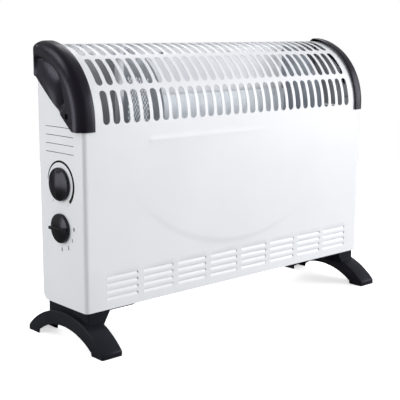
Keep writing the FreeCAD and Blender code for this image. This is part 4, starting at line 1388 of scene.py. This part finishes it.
# %% Both feet
foot_wall = 3 * mm
foot_edge_angle = 20
block_low_z = 32.5 * mm
block_half = rear_y - 3.5 * mm
block_corner = 2 * mm
block_ends = (5.5 * mm, 32 * mm, 44 * mm)
flange_ends = (5 * mm, 84 * mm)
flange_half = rear_y - 5.5 * mm
flange_low_z = body_lift - 3.4 * mm


def add_block(bm):
    """Block and flange of the left foot, added to its arch."""
    outer, lower, upper = (-half_width + end for end in block_ends)
    section = ((outer, block_low_z), (lower, block_low_z), (upper, body_lift), (outer, body_lift))
    corners = [bm.verts.new((x, -block_half, z)) for x, z in section]
    front = bmesh.ops.contextual_create(bm, geom=corners)["faces"]
    block_verts = corners + extruded(bm, front, (0, 2 * block_half, 0))
    upright = []
    for edge in bm.edges:
        first, second = edge.verts
        rises = abs(first.co.y - second.co.y) < near and abs(first.co.z - second.co.z) > mm
        if first in block_verts and second in block_verts and rises:
            upright.append(edge)
    bmesh.ops.bevel(bm, geom=upright, offset=block_corner, segments=4, profile=0.5, affect="EDGES",
                    material=-1)
    plate = bmesh.ops.create_cube(bm, size=1)["verts"]
    start, end = (-half_width + reach for reach in flange_ends)
    bmesh.ops.scale(bm, verts=plate, vec=(end - start, 2 * flange_half, body_lift - flange_low_z))
    bmesh.ops.translate(bm, verts=plate, vec=((start + end) / 2, 0, (body_lift + flange_low_z) / 2))
    bmesh.ops.recalc_face_normals(bm, faces=bm.faces)


arch_piece = finish_piece("foot_arch", foot_arch(), foot_plastic, "heater", foot_edge_angle)
add_thickness(arch_piece, foot_wall, foot_edge_angle)
for foot, side in (("left_foot", 1), ("right_foot", -1)):
    foot_mesh = bmesh.new()
    foot_mesh.from_mesh(arch_piece.data)
    add_block(foot_mesh)
    for vert in foot_mesh.verts:
        # Without this, the wall of the pads would end a hair under the floor.
        vert.co.z = max(0, vert.co.z)
    if side < 0:
        mirror(foot_mesh)
    foot_piece = finish_piece(foot + "_moulding", foot_mesh, foot_plastic, "heater", foot_edge_angle)
    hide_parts(foot)
    print(foot_piece.name, len(foot_piece.data.polygons), "faces")
bpy.data.objects.remove(arch_piece)

# %% [markdown]
# ## Camera, floor and light
# The photo is a product shot on white. The camera's place and lens were found by matching the corners of the
# body in the photo. The floor is white to the camera, but it throws only part of its light back, so that the
# black pieces stay black.


# %% Floor
def white_floor():
    """Plain pale floor: white to the eye, but it throws only part of its light back at the heater."""
    material = new_finish("studio floor", {"Specular IOR Level": 0.1, "Emission Color": (1, 1, 1, 1)})
    tree = material.node_tree
    path = add_node(tree, "LightPath", {}).outputs
    cloud = use_group(material, slow_cloud, Scale=1.5, Low=0.94, High=0.97)
    thrown = ranged(tree, path["Is Glossy Ray"], 0.35, 0.12)
    seen = add_node(tree, "Mix", {"Factor": path["Is Camera Ray"], "A": thrown, "B": cloud})
    glow = maths(tree, "MULTIPLY", path["Is Camera Ray"], 0.6)
    set_shader(material, {"Base Color": seen.outputs["Result"], "Emission Strength": glow})
    rough_between(material, 0.55, 0.65, 2)
    return material


floor_radius = 1.35
floor_middle = (0.15, 0.25, -0.1 * mm)
floor_mesh = bmesh.new()
bmesh.ops.create_circle(floor_mesh, cap_ends=True, segments=128, radius=floor_radius)
bmesh.ops.translate(floor_mesh, verts=floor_mesh.verts, vec=floor_middle)
floor = mesh_object("studio_floor", floor_mesh)
floor.data.materials.append(white_floor())
print("floor", 2 * floor_radius, "m across")

# %% Camera
yaw = math.radians(42.0446)
pitch = math.radians(10.6064)
roll = math.radians(0.2179)
camera_place = (-0.9500, -1.0162, 0.4257)
camera_data = bpy.data.cameras.new("camera")
camera_data.sensor_width = 36
camera_data.lens = 83.05
camera_data.dof.use_dof = False
camera = add_object("camera", camera_data)
bpy.context.scene.camera = camera
forward = Vector((math.sin(yaw) * math.cos(pitch), math.cos(yaw) * math.cos(pitch), -math.sin(pitch)))
level = Vector((math.cos(yaw), -math.sin(yaw), 0))
right_axis = level * math.cos(roll) + level.cross(forward) * math.sin(roll)
up_axis = right_axis.cross(forward)
camera_turn = Matrix((right_axis, up_axis, -forward)).transposed().to_4x4()
camera.matrix_world = Matrix.Translation(camera_place) @ camera_turn
print("camera looks along", [round(c, 3) for c in forward])

# %% [markdown]
# Large boxes of light stand on the left, on the right and high behind the heater, and a pale world lies all
# round. Its part above and behind the camera is dim, which is why the folded corner looks darker than the two
# sides it joins. Fill lamps add light without showing up as glare, because they are kept out of the
# reflections. Small, weak lamps inside the chamber bring the reflector behind the slots near to its
# brightness in the photo.


# %% World
def studio_world():
    """Pale studio, dim above and behind the camera and below the horizon, plain white to the camera."""
    world = bpy.data.worlds.new("studio")
    world.use_nodes = True
    tree = world.node_tree
    place = add_node(tree, "TexCoord", {}).outputs["Generated"]
    away = (0.55, 0.60, -0.58)
    toward = add_node(tree, "VectorMath", {0: place, 1: away}, operation="DOT_PRODUCT").outputs["Value"]
    gap = add_node(tree, "MapRange", {
        "Value": toward, "From Min": -0.95, "From Max": -0.1, "To Min": 0.37, "To Max": 0.85},
        interpolation_type="SMOOTHSTEP")
    height = add_node(tree, "SeparateXYZ", {"Vector": place}).outputs["Z"]
    horizon = add_node(tree, "MapRange", {"Value": height, "From Min": -0.12, "From Max": 0, "To Min": 0.45})
    dimmed = maths(tree, "MULTIPLY", gap.outputs["Result"], horizon.outputs["Result"])
    path = add_node(tree, "LightPath", {}).outputs
    in_gloss = maths(tree, "MULTIPLY", dimmed, ranged(tree, path["Is Glossy Ray"], 1, 0.5))
    seen = add_node(tree, "Mix", {"Factor": path["Is Camera Ray"], "A": in_gloss, "B": 1})
    backdrop = {"Color": (1, 1, 1, 1), "Strength": seen.outputs["Result"]}
    fill_inputs(tree, tree.nodes["Background"], backdrop)
    return world


bpy.context.scene.world = studio_world()
bpy.context.scene.view_settings.view_transform = "Standard"
print("world:", bpy.context.scene.world.name)


# %% Lamps
def soft_box(name, place, target, width, height, power, mirrored_in_gloss=True):
    """Rectangular area light aimed at a point. A fill light can be kept out of the reflections."""
    light = bpy.data.lights.new(name, "AREA")
    light.shape = "RECTANGLE"
    light.size = width
    light.size_y = height
    light.energy = power
    lamp = add_object(name, light)
    aim = Vector(target) - Vector(place)
    lamp.matrix_world = Matrix.Translation(place) @ aim.to_track_quat("-Z", "Y").to_matrix().to_4x4()
    lamp.visible_glossy = mirrored_in_gloss
    return lamp


lamps = [
    soft_box("left box", (-1.38, 0.62, 1.48), (-0.28, 0, 0.36), 0.7, 0.7, 5.5),
    soft_box("low box", (-1.03, 0.42, 0.26), (-0.28, 0, 0.26), 0.36, 0.44, 1.55),
    soft_box("left fill", (-1.86, 0.3, 0.6), (-0.28, 0, 0.25), 1.2, 0.8, 6, False),
    soft_box("right box", (1.9, -1.5, 0.75), (0.2, 0, 0.2), 1.6, 1.6, 22),
    soft_box("right fill", (1.4, -1.9, 0.6), (0.1, 0, 0.2), 1.6, 1.2, 30, False),
    soft_box("sheen box", (0.79, 0.78, 1.29), (-0.27, 0, 0.4), 0.7, 0.7, 2.6),
    soft_box("chamber fill", (0.065, -0.035, 0.305), (0.065, 0.045, 0.335), 0.23, 0.02, 0.010),
    soft_box("corner fill", (0.155, -0.035, 0.305), (0.165, 0.045, 0.33), 0.06, 0.02, 0.018, False),
    soft_box("upper corner fill", (0.155, -0.01, 0.35), (0.165, 0.05, 0.362), 0.05, 0.02, 0.006, False),
    soft_box("top fill", (0.03, -0.004, 0.380), (0.03, 0.05, 0.410), 0.28, 0.012, 0.014, False),
    soft_box("top left fill", (-0.2, -0.004, 0.380), (-0.2, 0.05, 0.410), 0.1, 0.012, 0.010, False),
    soft_box("end fill", (0.232, -0.036, 0.305), (0.25, 0.045, 0.335), 0.07, 0.02, 0.004, False),
]
print("lamps:", [lamp.name for lamp in lamps])
